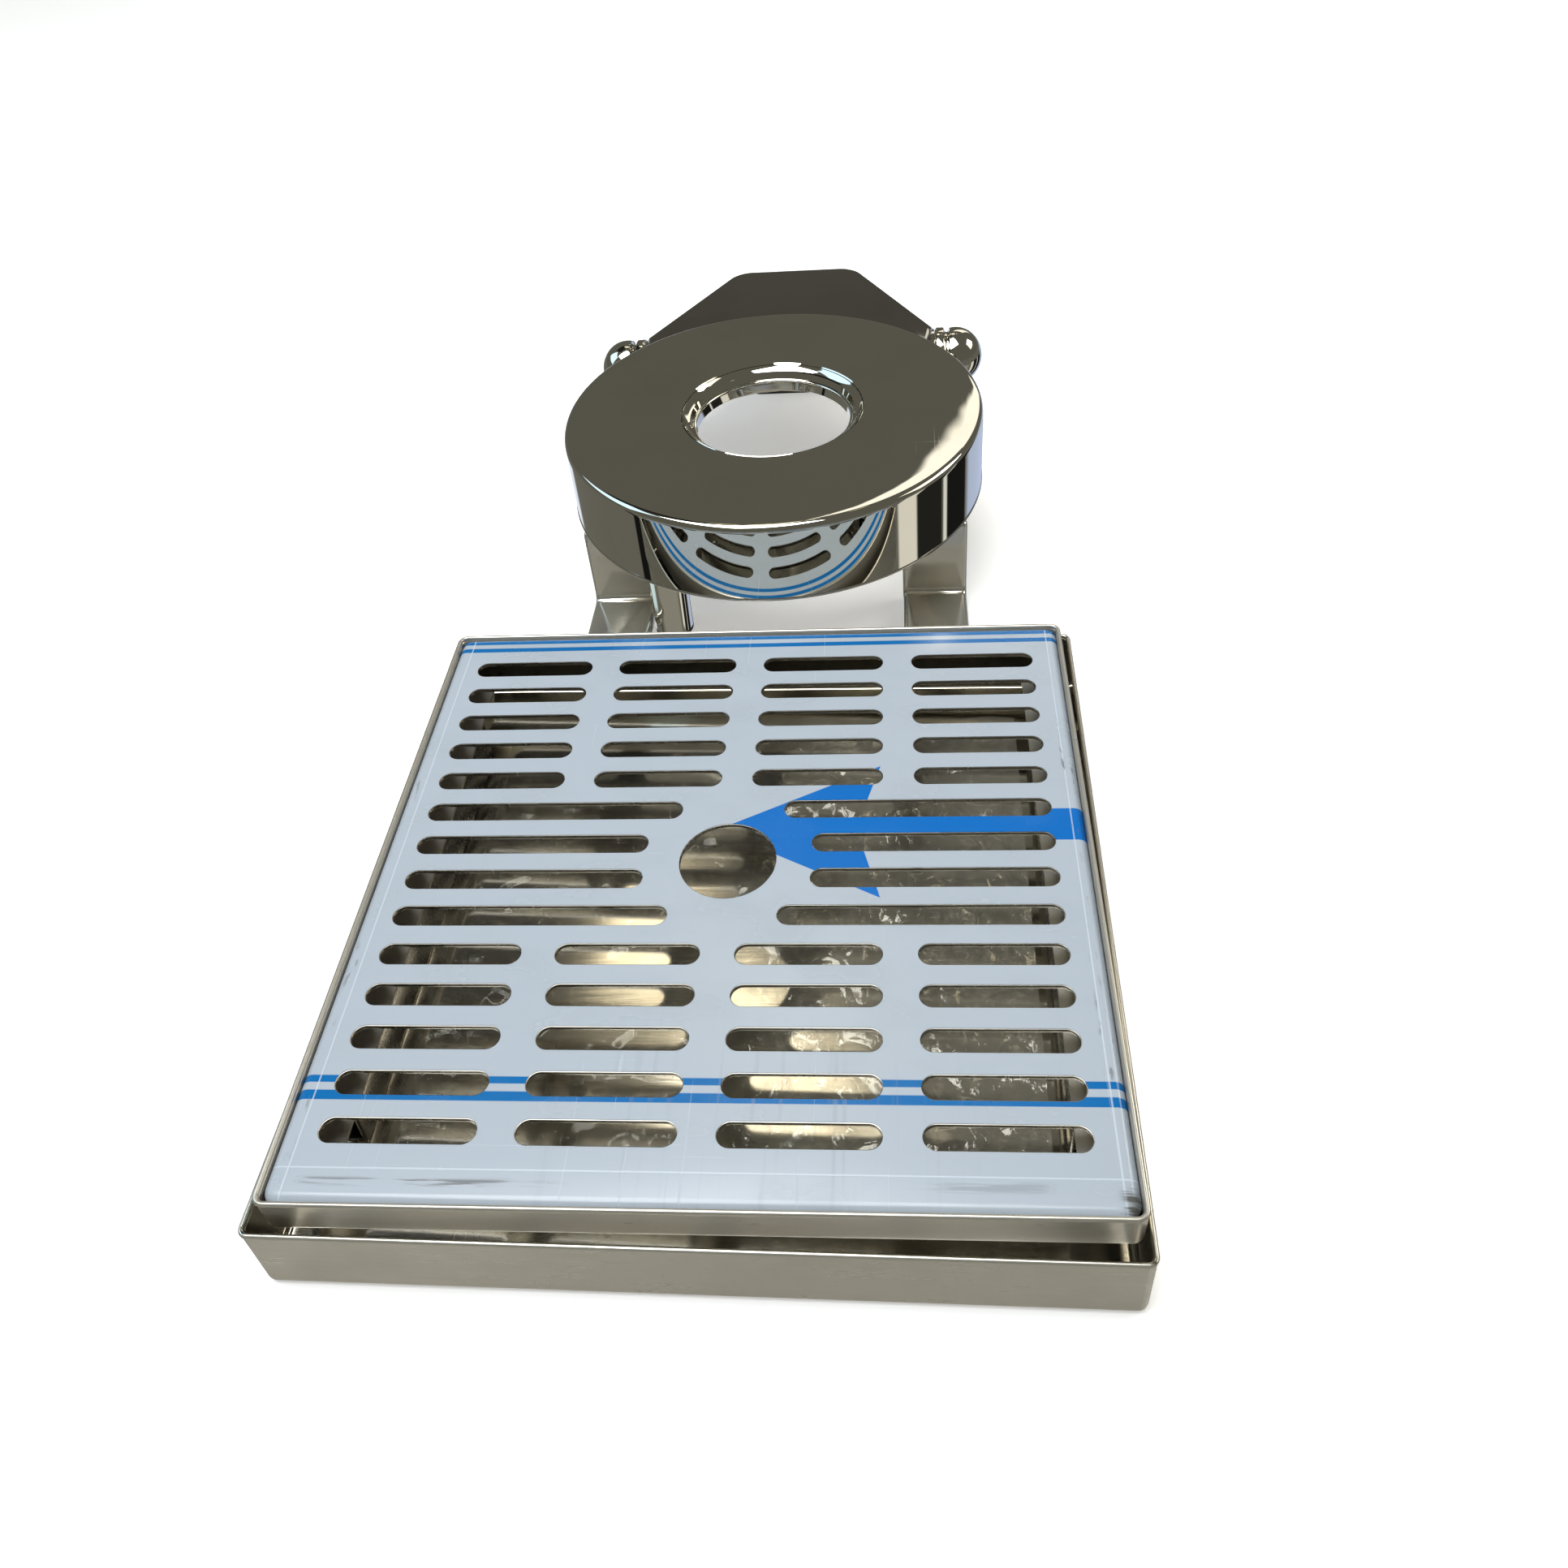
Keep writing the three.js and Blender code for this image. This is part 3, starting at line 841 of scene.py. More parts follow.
def refined(node: str, body: Body, slot: Slot, bevel: float, segments: int = 3) -> bpy.types.Object:
    """Makes a piece from a merged copy of a CAD node, with its sharp edges rounded.

    Args:
        node: The CAD node.
        body: The body that it rides on.
        slot: Its material slot.
        bevel: The width of the rounding, in millimetres.
        segments: How many faces the rounding has.

    Returns:
        The piece.
    """
    bm = bmesh.new()
    bm.from_mesh(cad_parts[node].data)
    bmesh.ops.remove_doubles(bm, verts=bm.verts, dist=2e-6)
    bmesh.ops.dissolve_limit(bm, angle_limit=math.radians(0.5), verts=bm.verts, edges=bm.edges)
    sharp = [e for e in bm.edges if len(e.link_faces) == 2 and e.calc_face_angle(0) > SMOOTH_ANGLE]
    bmesh.ops.bevel(bm, geom=sharp, offset=bevel * MM, offset_type="OFFSET", segments=segments, profile=0.5,
                    affect="EDGES", material=-1, clamp_overlap=True)
    return to_piece(f"{node}_shape", bm, body, slot, [node])


def cutter(name: str, radius: float, reach: Point, centre: Vector, along: Vector) -> bpy.types.Object:
    """Makes a rod that a round hole is cut with, which the caller removes afterwards.

    Args:
        name: Its name.
        radius: Its radius, in millimetres.
        reach: Where it starts and ends along its axis, in millimetres.
        centre: The zero of its axis, in metres.
        along: The direction of its axis.

    Returns:
        The rod.
    """
    low, high = reach
    made = turned([(0, low), (radius, low), (radius, high), (0, high)], Vector(), closed=False, steps=256)
    place = Matrix.Translation(centre) @ along.to_track_quat("Z", "Y").to_matrix().to_4x4()
    bmesh.ops.transform(made, matrix=place, verts=made.verts)
    return meshed(name, made)


def cut_by(*tools: bpy.types.Object) -> list[Modifier]:
    """Returns the Boolean modifiers that cut each of the tools out of a piece."""
    return [("BOOLEAN", {"object": tool, "operation": "DIFFERENCE", "solver": "EXACT"}) for tool in tools]


def remove(*tools: bpy.types.Object) -> None:
    """Removes the tools that holes were cut with."""
    for tool in tools:
        bpy.data.objects.remove(tool)


@dataclass(frozen=True)
class OutletBore:
    """The slanting bore that lets the outlet pipe through the drum's wall and the cowl."""

    radius: float = 4.0
    start: Point = (164.6, 57.0)
    end: Point = (192.5, 46.5)
    past: float = 2.0

    def tool(self) -> bpy.types.Object:
        """Makes the rod that the bore is cut with.

        Returns:
            The rod.
        """
        begin = Vector((centre_of("ring_collar").x / MM, self.start[0] - ROW_Y, self.start[1])) * MM
        along = Vector((0, self.end[0] - self.start[0], self.end[1] - self.start[1]))
        return cutter("outlet_cutter", self.radius, (-self.past, along.length + self.past), begin, along)


# ---------------------------------------------------------------------------- drip tray
@dataclass
class DripTray:
    """The outer pan with its rails and wrap, the inner frame, and the lift-out grille with its film."""

    sheet: float = 1.2
    pan_inset: float = 0.35
    frame_inset: float = 0.3
    pan_half: Point = (111.0, 114.0)
    pan_turn: float = -0.7
    pan_height: float = 25.0
    corner: float = 3.2
    bend: float = 2.6
    frame_half: Point = (108.0, 108.75)
    frame_flange: float = 14.0
    frame_corner: float = 3.6
    frame_bend: float = 2.0
    grille_half: Point = (106.4, 107.1)
    grille_corner: float = 4.4
    shoulder: float = 2.8
    rear_share: float = 0.4
    row_pitch: float = 13.7
    rows: int = 14
    slot_half_width: float = 3.5
    slot_length: float = 41.0
    column_pitch: float = 51.0
    slot_reach: float = 97.0
    long_rows: dict[int, float] = field(default_factory=lambda: {5: 16.0, 6: 25.0, 7: 25.0, 8: 16.0})
    hole_radius: float = 14.4
    hole_row: float = 6.5
    film_gap: float = 0.03
    film_thickness: float = 0.14
    wrap_half: Point = (91.0, 94.0)
    wrap_cells: int = 150

    def row_slots(self, row: int) -> list[Point]:
        """Gives the slots of one row.

        Args:
            row: The row's number, from the rear.

        Returns:
            The centre and the length of each slot along X, in millimetres.
        """
        inner = self.long_rows.get(row)
        if inner is None:
            return [(step * self.column_pitch, self.slot_length) for step in (-1.5, -0.5, 0.5, 1.5)]
        middle = (inner + self.slot_reach) / 2
        return [(sign * middle, self.slot_reach - inner) for sign in (-1, 1)]

    def bend_levels(self, inset: float, radius: float, base: float) -> tuple[list[Level], list[Level]]:
        """The section of the bend between a tray's floor and its wall.

        Args:
            inset: The wall's outer face, as an inset.
            radius: The bend's outer radius.
            base: The floor's height.

        Returns:
            The levels of its outer face, from the floor up, and of its inner face, from the wall down.
        """
        tight = radius - 1
        outside = [Level(inset + radius - x, base + z) for x, z in arc((0, radius), radius, 270, 360, 5)]
        inside = [Level(inset + self.sheet + tight - x, base + self.sheet + z)
                  for x, z in arc((0, tight), tight, 360, 270, 4)]
        return outside, inside

    def pan(self) -> None:
        """Builds the outer pan, with a rounded bend, an upright wall and a rolled lip, and its two rails."""
        outside, inside = self.bend_levels(self.pan_inset, self.bend, 0)
        lip = hem(self.pan_inset, self.pan_inset + self.sheet, self.pan_height)
        bm = bmesh.new()
        loops = tray_loops(bm, self.pan_half, self.corner, [*outside, *lip, *inside])
        for edges in (loops[0], loops[-1]):
            bmesh.ops.contextual_create(bm, geom=edges)
        bmesh.ops.recalc_face_normals(bm, faces=bm.faces)
        set_down(bm, "outer_pan", self.pan_turn)
        to_piece("outer_pan_shell", bm, Body.PAN, Slot.PAN, ["outer_pan"])
        for side in Side:
            refined(f"{side.label}_rail", Body.PAN, Slot.GRILLE, 0.4)

    def wrap(self) -> None:
        """Builds the crumpled clear film that lies in the pan."""
        bm = bmesh.new()
        bmesh.ops.create_grid(bm, x_segments=self.wrap_cells, y_segments=self.wrap_cells, size=1.0)
        for vert in bm.verts:
            x, y = vert.co.x * self.wrap_half[0], vert.co.y * self.wrap_half[1]
            spot = Vector((x, y, 0))
            fold = noise.voronoi(spot / 27)[0]
            crease = abs(noise.noise(spot / 11 + Vector((3, 7, 1))))
            rise = 5.5 * (fold[1] - fold[0]) * (0.5 + noise.noise(spot / 60)) + 2.4 * crease
            edge = max(abs(vert.co.x), abs(vert.co.y))
            vert.co = spot * MM
            vert.co.z = (2.0 + max(rise, 0.0) * (1 - 0.4 * edge ** 6)) * MM
        set_down(bm, "pan_wrap", self.pan_turn)
        piece = to_piece("pan_wrap_sheet", bm, Body.PAN, Slot.WRAP, ["pan_wrap"])

    def inner_frame(self) -> None:
        """Builds the shallow frame: a flange round a window, a wall and a rolled lip."""
        low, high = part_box("inner_frame")
        base, top = low.z / MM, high.z / MM
        outside, inside = self.bend_levels(self.frame_inset, self.frame_bend, base)
        lip = hem(self.frame_inset, self.frame_inset + self.sheet, top)
        window = [Level(self.frame_flange, z, self.frame_corner) for z in (base + self.sheet, base)]
        bm = bmesh.new()
        levels = [*outside, *lip, *inside, *window]
        loops = tray_loops(bm, self.frame_half, self.frame_corner, levels)
        bmesh.ops.bridge_loops(bm, edges=loops[-1] + loops[0])
        bmesh.ops.recalc_face_normals(bm, faces=bm.faces)
        set_down(bm, "inner_frame")
        to_piece("inner_frame_shell", bm, Body.FRAME, Slot.SATIN, ["inner_frame"])

    def slotted_top(self, bm: bmesh.types.BMesh, first_row: float, height: float,
                    grow: float) -> list[bmesh.types.BMEdge]:
        """Adds a flat rounded rectangle with all the slots and the finger hole cut out.

        Args:
            bm: The mesh that it is added to.
            first_row: The first slot row's Y from the grille's middle, in millimetres.
            height: The flat's height.
            grow: How much wider each opening is cut on every side.

        Returns:
            The edges of its outer loop.
        """
        size = (self.grille_half[0] - self.shoulder, self.grille_half[1] - self.shoulder)
        outline = rounded_loop(bm, size, self.grille_corner - self.shoulder, height)
        edges = list(outline)
        radius = self.slot_half_width + grow
        for row in range(self.rows):
            for centre, length in self.row_slots(row):
                half = (length / 2 + grow, radius)
                loop = rounded_loop(bm, half, radius, height)
                verts = list({v for e in loop for v in e.verts})
                shift = (centre * MM, (first_row - row * self.row_pitch) * MM, 0)
                bmesh.ops.translate(bm, verts=verts, vec=shift)
                edges += loop
        hole_y = (first_row - self.hole_row * self.row_pitch) * MM
        place = Matrix.Translation((0, hole_y, height * MM))
        rim = bmesh.ops.create_circle(bm, cap_ends=False, segments=72, radius=(self.hole_radius + grow) * MM,
                                      matrix=place)
        edges += edges_at(rim["verts"])
        bmesh.ops.triangle_fill(bm, use_beauty=True, edges=edges, normal=(0, 0, 1))
        return outline

    def tighten_rear(self, bm: bmesh.types.BMesh) -> None:
        """Draws the shoulder in along the rear edge, where the sheet is bent more sharply.

        Args:
            bm: The grille's skin, centred on the origin.
        """
        rear, reach = self.grille_half[1], 8.0
        sharp = self.shoulder * self.rear_share
        for vert in bm.verts:
            gap = rear - vert.co.y / MM
            if 0 < gap <= self.shoulder:
                vert.co.y = (rear - gap * self.rear_share) * MM
            elif self.shoulder < gap < reach:
                grown = sharp + (gap - self.shoulder) * (reach - sharp) / (reach - self.shoulder)
                vert.co.y = (rear - grown) * MM

    def slotted_shell(self, height: float, lift: float, grow: float, arc_end: float,
                      skirt: float | None) -> bmesh.types.BMesh:
        """Builds the grille's upper skin: the slotted flat, its rounded shoulder and a skirt.

        Args:
            height: The plate's top, in millimetres.
            lift: How far the skin stands off the plate.
            grow: How much wider its openings are.
            arc_end: How far round the shoulder it runs, in degrees.
            skirt: The height that its skirt runs down to, if it has one.

        Returns:
            The mesh, in place.
        """
        middle = centre_of("grille_plate")
        first_row = -middle.y / MM - ROW_Y
        bm = bmesh.new()
        outline = self.slotted_top(bm, first_row, height + lift, grow)
        radius = self.shoulder + lift
        points = arc((0, height - self.shoulder), radius, 90, 90 - arc_end, 7)
        levels = [Level(self.shoulder - p[0], p[1]) for p in points]
        if skirt is not None:
            levels.append(Level(-lift, skirt))
        loops = [outline]
        for level in levels[1:]:
            size = (self.grille_half[0] - level.inset, self.grille_half[1] - level.inset)
            loops.append(rounded_loop(bm, size, self.grille_corner - level.inset, level.height))
        for upper, lower in zip(loops, loops[1:]):
            bmesh.ops.bridge_loops(bm, edges=upper + lower)
        self.tighten_rear(bm)
        bmesh.ops.recalc_face_normals(bm, faces=bm.faces)
        flats = [f for f in bm.faces if abs(f.normal.z) > 0.99]
        if sum(f.normal.z for f in flats) < 0:
            bmesh.ops.reverse_faces(bm, faces=bm.faces)
        set_down(bm, "grille_plate")
        return bm

    def grille(self) -> None:
        """Builds the slotted plate and the film on it."""
        low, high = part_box("grille_plate")
        top, bottom = high.z / MM, low.z / MM
        plate = self.slotted_shell(top, 0.0, 0.0, 90, bottom)
        thicken = ("SOLIDIFY", {"thickness": self.sheet * MM, "offset": -1.0, "use_even_offset": True})
        soften = ("BEVEL", {"width": 0.18 * MM, "segments": 2, "limit_method": "ANGLE",
                            "angle_limit": math.radians(60), "profile": 0.5})
        # The plate takes the darkened grille steel, whose darkness is painted shade.
        to_piece("grille_plate_shell", plate, Body.GRILLE, Slot.GRILLE, ["grille_plate"], [thicken, soften])
        film = self.slotted_shell(top, self.film_gap, 0.22, 70, None)
        skin = ("SOLIDIFY", {"thickness": self.film_thickness * MM, "offset": 1.0, "use_even_offset": True})
        to_piece("grille_film_skin", film, Body.GRILLE, Slot.FILM, ["grille_film"], [skin])

    def build(self) -> None:
        """Builds every piece of the tray."""
        self.pan()
        self.wrap()
        self.inner_frame()
        self.grille()


# ---------------------------------------------------------------------------- ring head
@dataclass
class RingHead:
    """The drum with its flat top, the bevelled collar, the flow channel and the mounting plate."""

    radius: float = 81.5
    top: float = 70.5
    bottom: float = 38.5
    wall: float = 1.5
    fillet: float = 2.4
    hole: float = 35.6
    crown_start: float = 75.0
    crown_drop: float = 0.05
    bore: float = 30.1
    collar_bottom: float = 61.0

    def shell(self, centre: Vector) -> None:
        """Builds the drum: a flat that eases down to a small fillet, the rim and its lip.

        Args:
            centre: The foot of the ring's axis, in metres.
        """
        edge = self.radius - self.fillet
        crown = [(self.crown_start + (edge - self.crown_start) * t,
                  self.top - self.crown_drop * t * t) for t in (0, 0.15, 0.3, 0.45, 0.6, 0.75, 0.9, 1.0)]
        shoulder = self.top - self.crown_drop - self.fillet
        outside = [(self.hole + 0.4, self.top), (self.hole + 0.8, self.top), *crown,
                   *arc((edge, shoulder), self.fillet, 86, 0, 8),
                   (self.radius, shoulder - 0.4), (self.radius, self.bottom + 1.2)]
        lip = [(self.radius + 0.25, self.bottom + 0.9), (self.radius + 0.3, self.bottom + 0.45),
               (self.radius + 0.1, self.bottom), (self.radius - self.wall, self.bottom)]
        inner = self.radius - self.wall
        inside = [(inner, shoulder), *arc((inner - 2, shoulder), 2, 0, 90, 4), (self.hole, shoulder + 2),
                  (self.hole, self.top - 0.4)]
        ring = turned([*outside, *lip, *inside], centre, closed=True, steps=256)
        bore = OutletBore().tool()
        to_piece("ring_shell_drum", ring, Body.HEAD, Slot.MIRROR, ["ring_shell"], cut_by(bore))
        remove(bore)

    def collar(self, centre: Vector) -> None:
        """Builds the stepped, bevelled collar round the hole.

        Args:
            centre: The foot of the ring's axis, in metres.
        """
        edge, step = self.hole - 0.3, self.bore + 2.3
        shelf, floor = self.top - 2.3, self.collar_bottom
        profile = [
            (edge, self.top - 0.5), (edge - 0.3, self.top - 0.3), (edge - 0.7, self.top - 0.7),
            (step + 0.9, shelf + 0.15), (step + 0.5, shelf), (step, shelf - 0.15),
            (self.bore + 1.3, shelf - 2.3), *arc((self.bore + 0.9, shelf - 3.3), 0.9, 70, 180, 4),
            (self.bore, floor + 0.4), (self.bore + 0.4, floor), (self.bore + 1.1, floor),
            (self.bore + 1.5, floor + 0.4), (self.bore + 1.5, shelf - 4.0), (edge + 3.2, self.top - 3.5),
            (edge + 3.2, self.top - 1.8), (edge, self.top - 1.8),
        ]
        ring = turned(profile, centre, closed=True, steps=192)
        to_piece("ring_collar_bevel", ring, Body.HEAD, Slot.MIRROR, ["ring_collar"])

    def build(self) -> None:
        """Builds every piece of the ring."""
        middle = centre_of("ring_collar")
        centre = Vector((middle.x, middle.y, 0))
        self.shell(centre)
        self.collar(centre)
        refined("flow_channel", Body.HEAD, Slot.SATIN, 0.3)
        refined("mount_plate", Body.HEAD, Slot.SATIN, 0.3)


# ---------------------------------------------------------------------------- legs and column
@dataclass
class Stand:
    """The two strip legs on their pads and the supply column."""

    leg_edge: float = 1.9
    column_radius: float = 7.5
    column_bore: float = 5.5

    def build(self) -> None:
        """Builds the legs, pads, column and seal."""
        for side in Side:
            refined(f"{side.label}_leg", Body.HEAD, Slot.LEG, self.leg_edge, 5)
            refined(f"{side.label}_pad", Body.HEAD, Slot.RUBBER, 0.4)
        for node, slot in (("supply_column", Slot.MIRROR), ("column_seal", Slot.RUBBER)):
            low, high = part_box(node)
            middle = (low + high) / 2
            profile = tube(self.column_bore, self.column_radius, low.z / MM, high.z / MM, 0.4)
            mesh = turned(profile, Vector((middle.x, middle.y, 0)), closed=True)
            to_piece(f"{node}_turned", mesh, Body.HEAD, slot, [node])


# ---------------------------------------------------------------------------- valve bar
@dataclass(frozen=True)
class EndPart:
    """A turned part at one end of the bar: its name, profile and finish, and how it is built."""

    name: str
    profile: list[Point]
    slot: Slot
    moves: bool
    closed: bool
    steps: int


@dataclass
class ValveBar:
    """The tube behind the ring, with a cartridge, seal, stem, disc and knob at each end."""

    radius: float = 12.0
    bore: float = 9.5
    half: float = 65.7
    cartridge: tuple[float, ...] = (3.3, 9.2, 41, 59.5)  # bore, radius, start, end
    seal: tuple[float, ...] = (3.4, 9.0, 60, 63, 0.8)  # bore, radius, start, end, rounding
    stem: tuple[float, ...] = (3.0, 40, 76.6)  # radius, start, end
    disc: tuple[float, ...] = (8.8, 36, 39.8)  # radius, start, end
    knob_start: float = 66.0
    knob_end: float = 87.0
    knob_bore: float = 3.3
    knob_bore_end: float = 77.0

    def knob_profile(self) -> list[Point]:
        """Draws the knob's profile: a collar, a groove and a domed end.

        Returns:
            The profile as [radius, distance] points.
        """
        start, wide = self.knob_start, self.radius + 0.5
        collar = [(self.knob_bore, start), (self.radius - 0.3, start),
                  *arc((wide - 0.6, start + 0.9), 0.6, 270, 360, 4),
                  *arc((wide - 0.6, start + 3.4), 0.6, 0, 90, 4)]
        groove = [(wide - 1.9, start + 4.5), (wide - 2.1, start + 5.2), (wide - 1.9, start + 5.9)]
        dome = [(wide * math.cos(a), start + 9.0 + 12.0 * math.sin(a))
                for a in (math.radians(d) for d in range(-12, 90, 6))]
        return [*collar, *groove, *dome, (0, self.knob_end), (0, self.knob_bore_end),
                (self.knob_bore, self.knob_bore_end)]

    def end_parts(self) -> list[EndPart]:
        """Lists the parts at one end of the bar, the fixed ones first.

        Returns:
            The parts.
        """
        return [
            EndPart("cartridge", tube(*self.cartridge), Slot.BRASS, moves=False, closed=True, steps=64),
            EndPart("stem_seal", tube(*self.seal), Slot.RUBBER, moves=False, closed=True, steps=64),
            EndPart("stem", rod(*self.stem), Slot.BRASS, moves=True, closed=False, steps=96),
            EndPart("valve_disc", rod(*self.disc), Slot.CERAMIC, moves=True, closed=False, steps=96),
            EndPart("knob", self.knob_profile(), Slot.MIRROR, moves=True, closed=True, steps=96),
        ]

    def build(self) -> None:
        """Builds the bar and everything at its two ends."""
        centre = centre_of("valve_bar")
        bar = turned(tube(self.bore, self.radius, -self.half, self.half), centre, closed=True, axis="X")
        to_piece("valve_bar_tube", bar, Body.HEAD, Slot.MIRROR, ["valve_bar"])
        for side in Side:
            for part in self.end_parts():
                node = f"{side.label}_{part.name}"
                mesh = turned(part.profile, centre, part.closed, "X", side.value, part.steps)
                to_piece(f"{node}_turned", mesh, side.valve if part.moves else Body.HEAD, part.slot, [node])


# ---------------------------------------------------------------------------- neck
@dataclass
class Neck:
    """The cowl behind the ring, its base plate and screws, the rear post, hoses and pipes."""

    outline: tuple[Point, ...] = ((58, 165), (63, 192), (65, 206), (28.6, 271.6))
    bottom: float = 32.5
    top: float = 53.0
    wall: float = 1.5
    rear_corner: float = 7.0
    top_edge: float = 2.2
    ring_radius: float = 81.5
    ring_gap: float = 0.5
    bar_radius: float = 12.0
    bar_gap: float = 0.35
    cut_reach: float = 100.0
    hose_radius: float = 3.4
    hose_bend: float = 6.0

    def cowl(self) -> None:
        """Builds the trapezoid cover, open below and hollowed to its wall, cut to the ring and the bar."""
        middle = centre_of("ring_collar")
        right = [(middle.x / MM + x, y - ROW_Y) for x, y in self.outline]
        left = [(middle.x / MM - x, y - ROW_Y) for x, y in reversed(self.outline)]
        bm = bmesh.new()
        bm.faces.new([bm.verts.new((x * MM, y * MM, self.bottom * MM)) for x, y in right + left])
        rear = sorted(bm.verts, key=lambda v: -v.co.y)[:2]
        bmesh.ops.bevel(bm, geom=rear, offset=self.rear_corner * MM, offset_type="OFFSET", segments=6,
                        profile=0.5, affect="VERTICES", material=-1)
        grown = bmesh.ops.extrude_face_region(bm, geom=bm.faces[:])
        rise = (self.top - self.bottom) * MM
        bmesh.ops.translate(bm, verts=verts_of(grown["geom"]), vec=(0, 0, rise))
        low = [f for f in bm.faces if all(abs(v.co.z - self.bottom * MM) < 1e-7 for v in f.verts)]
        bmesh.ops.delete(bm, geom=low, context="FACES_ONLY")
        bmesh.ops.recalc_face_normals(bm, faces=bm.faces)
        if max(bm.faces, key=lambda f: f.calc_area()).normal.z < 0:
            bmesh.ops.reverse_faces(bm, faces=bm.faces)
        rim = [e for e in bm.edges if all(v.co.z > (self.top - 0.01) * MM for v in e.verts)]
        bmesh.ops.bevel(bm, geom=rim, offset=self.top_edge * MM, offset_type="OFFSET", segments=5,
                        profile=0.5, affect="EDGES", material=-1)
        drum = cutter("drum_cutter", self.ring_radius + self.ring_gap, (0, self.cut_reach),
                      Vector((middle.x, middle.y, 0)), Vector((0, 0, 1)))
        bar = cutter("bar_cutter", self.bar_radius + self.bar_gap, (-self.cut_reach, self.cut_reach),
                     centre_of("valve_bar"), Vector((1, 0, 0)))
        bore = OutletBore().tool()
        thicken = ("SOLIDIFY", {"thickness": self.wall * MM, "offset": -1.0, "use_even_offset": True})
        soften = ("BEVEL", {"width": 0.25 * MM, "segments": 2, "limit_method": "ANGLE",
                            "angle_limit": math.radians(60), "profile": 0.5})
        # The cowl takes the darkened mirror steel, which paints shade onto it.
        to_piece("neck_cowl_cover", bm, Body.HEAD, Slot.DARK_MIRROR, ["neck_cowl"],
                 [thicken, *cut_by(drum, bar, bore), soften])
        remove(drum, bar, bore)

    def hose(self, side: Side) -> None:
        """Builds a feed hose: a rise, a quarter bend and a level run.

        Args:
            side: The side that it is on.
        """
        node = f"{side.label}_feed_tube"
        low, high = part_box(node)
        x, rear = (low.x + high.x) / 2, high.y - self.hose_radius * MM
        level, bend = high.z - self.hose_radius * MM, self.hose_bend * MM
        bm = bmesh.new()
        made = bmesh.ops.create_circle(bm, cap_ends=False, segments=24, radius=self.hose_radius * MM,
                                       matrix=Matrix.Translation((x, rear, low.z)))
        grown = bmesh.ops.extrude_edge_only(bm, edges=edges_at(made["verts"]))["geom"]
        risen = verts_of(grown)
        bmesh.ops.translate(bm, verts=risen, vec=(0, 0, level - bend - low.z))
        edges = [e for e in edges_of(grown) if all(v in risen for v in e.verts)]
        swept = bmesh.ops.spin(bm, geom=risen + edges, cent=(x, rear - bend, level - bend),
                               axis=(1, 0, 0), angle=math.pi / 2, steps=10)["geom_last"]
        final = bmesh.ops.extrude_edge_only(bm, edges=edges_of(swept))["geom"]
        bmesh.ops.translate(bm, verts=verts_of(final), vec=(0, low.y - (rear - bend), 0))
        bmesh.ops.holes_fill(bm, edges=bm.edges, sides=0)
        bmesh.ops.recalc_face_normals(bm, faces=bm.faces)
        to_piece(f"{node}_hose", bm, Body.HEAD, Slot.RUBBER, [node])

    def barb(self, side: Side) -> None:
        """Builds the barbed nipple that a feed hose pushes onto, with three sloping rings.

        Args:
            side: The side that it is on.
        """
        node, hose = f"{side.label}_inlet_barb", centre_of(f"{side.label}_feed_tube")
        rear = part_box(f"{side.label}_feed_tube")[1].y - self.hose_radius * MM
        low, high = (corner.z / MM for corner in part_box(node))
        collar, bore, crest, root, count = 1.5, 2.0, 3.4, 2.8, 3
        pitch = (high - low - collar) / count
        rings = [p for i in range(count) for p in ((crest, low + collar + i * pitch),
                                                   (root, low + collar + (i + 0.95) * pitch))]
        profile = [(bore, low), (3.2, low), *rings, (2.5, high), (bore, high)]
        made = turned(profile, Vector((hose.x, rear, 0)), closed=True)
        to_piece(f"{node}_turned", made, Body.HEAD, Slot.BRASS, [node])

    def build(self) -> None:
        """Builds every piece of the neck."""
        self.cowl()
        for side in Side:
            self.hose(side)
            self.barb(side)
        refined("neck_base", Body.HEAD, Slot.SATIN, 0.25)
        refined("rear_post", Body.HEAD, Slot.SATIN, 0.35)
        refined("rear_pad", Body.HEAD, Slot.RUBBER, 0.3)
        refined("outlet_pipe", Body.HEAD, Slot.SATIN, 0.3)
        for row in ("front", "rear"):
            for side in Side:
                refined(f"screw_{row}_{side.label}", Body.HEAD, Slot.SATIN, 0.25)


# ---------------------------------------------------------------------------- studio
@dataclass(frozen=True)
class Panel:
    """A soft panel of the studio's surroundings, by direction, in degrees."""

    azimuth: float
    elevation: float
    half_width: float
    half_height: float
    soft: float
    colour: Colour
    strength: float


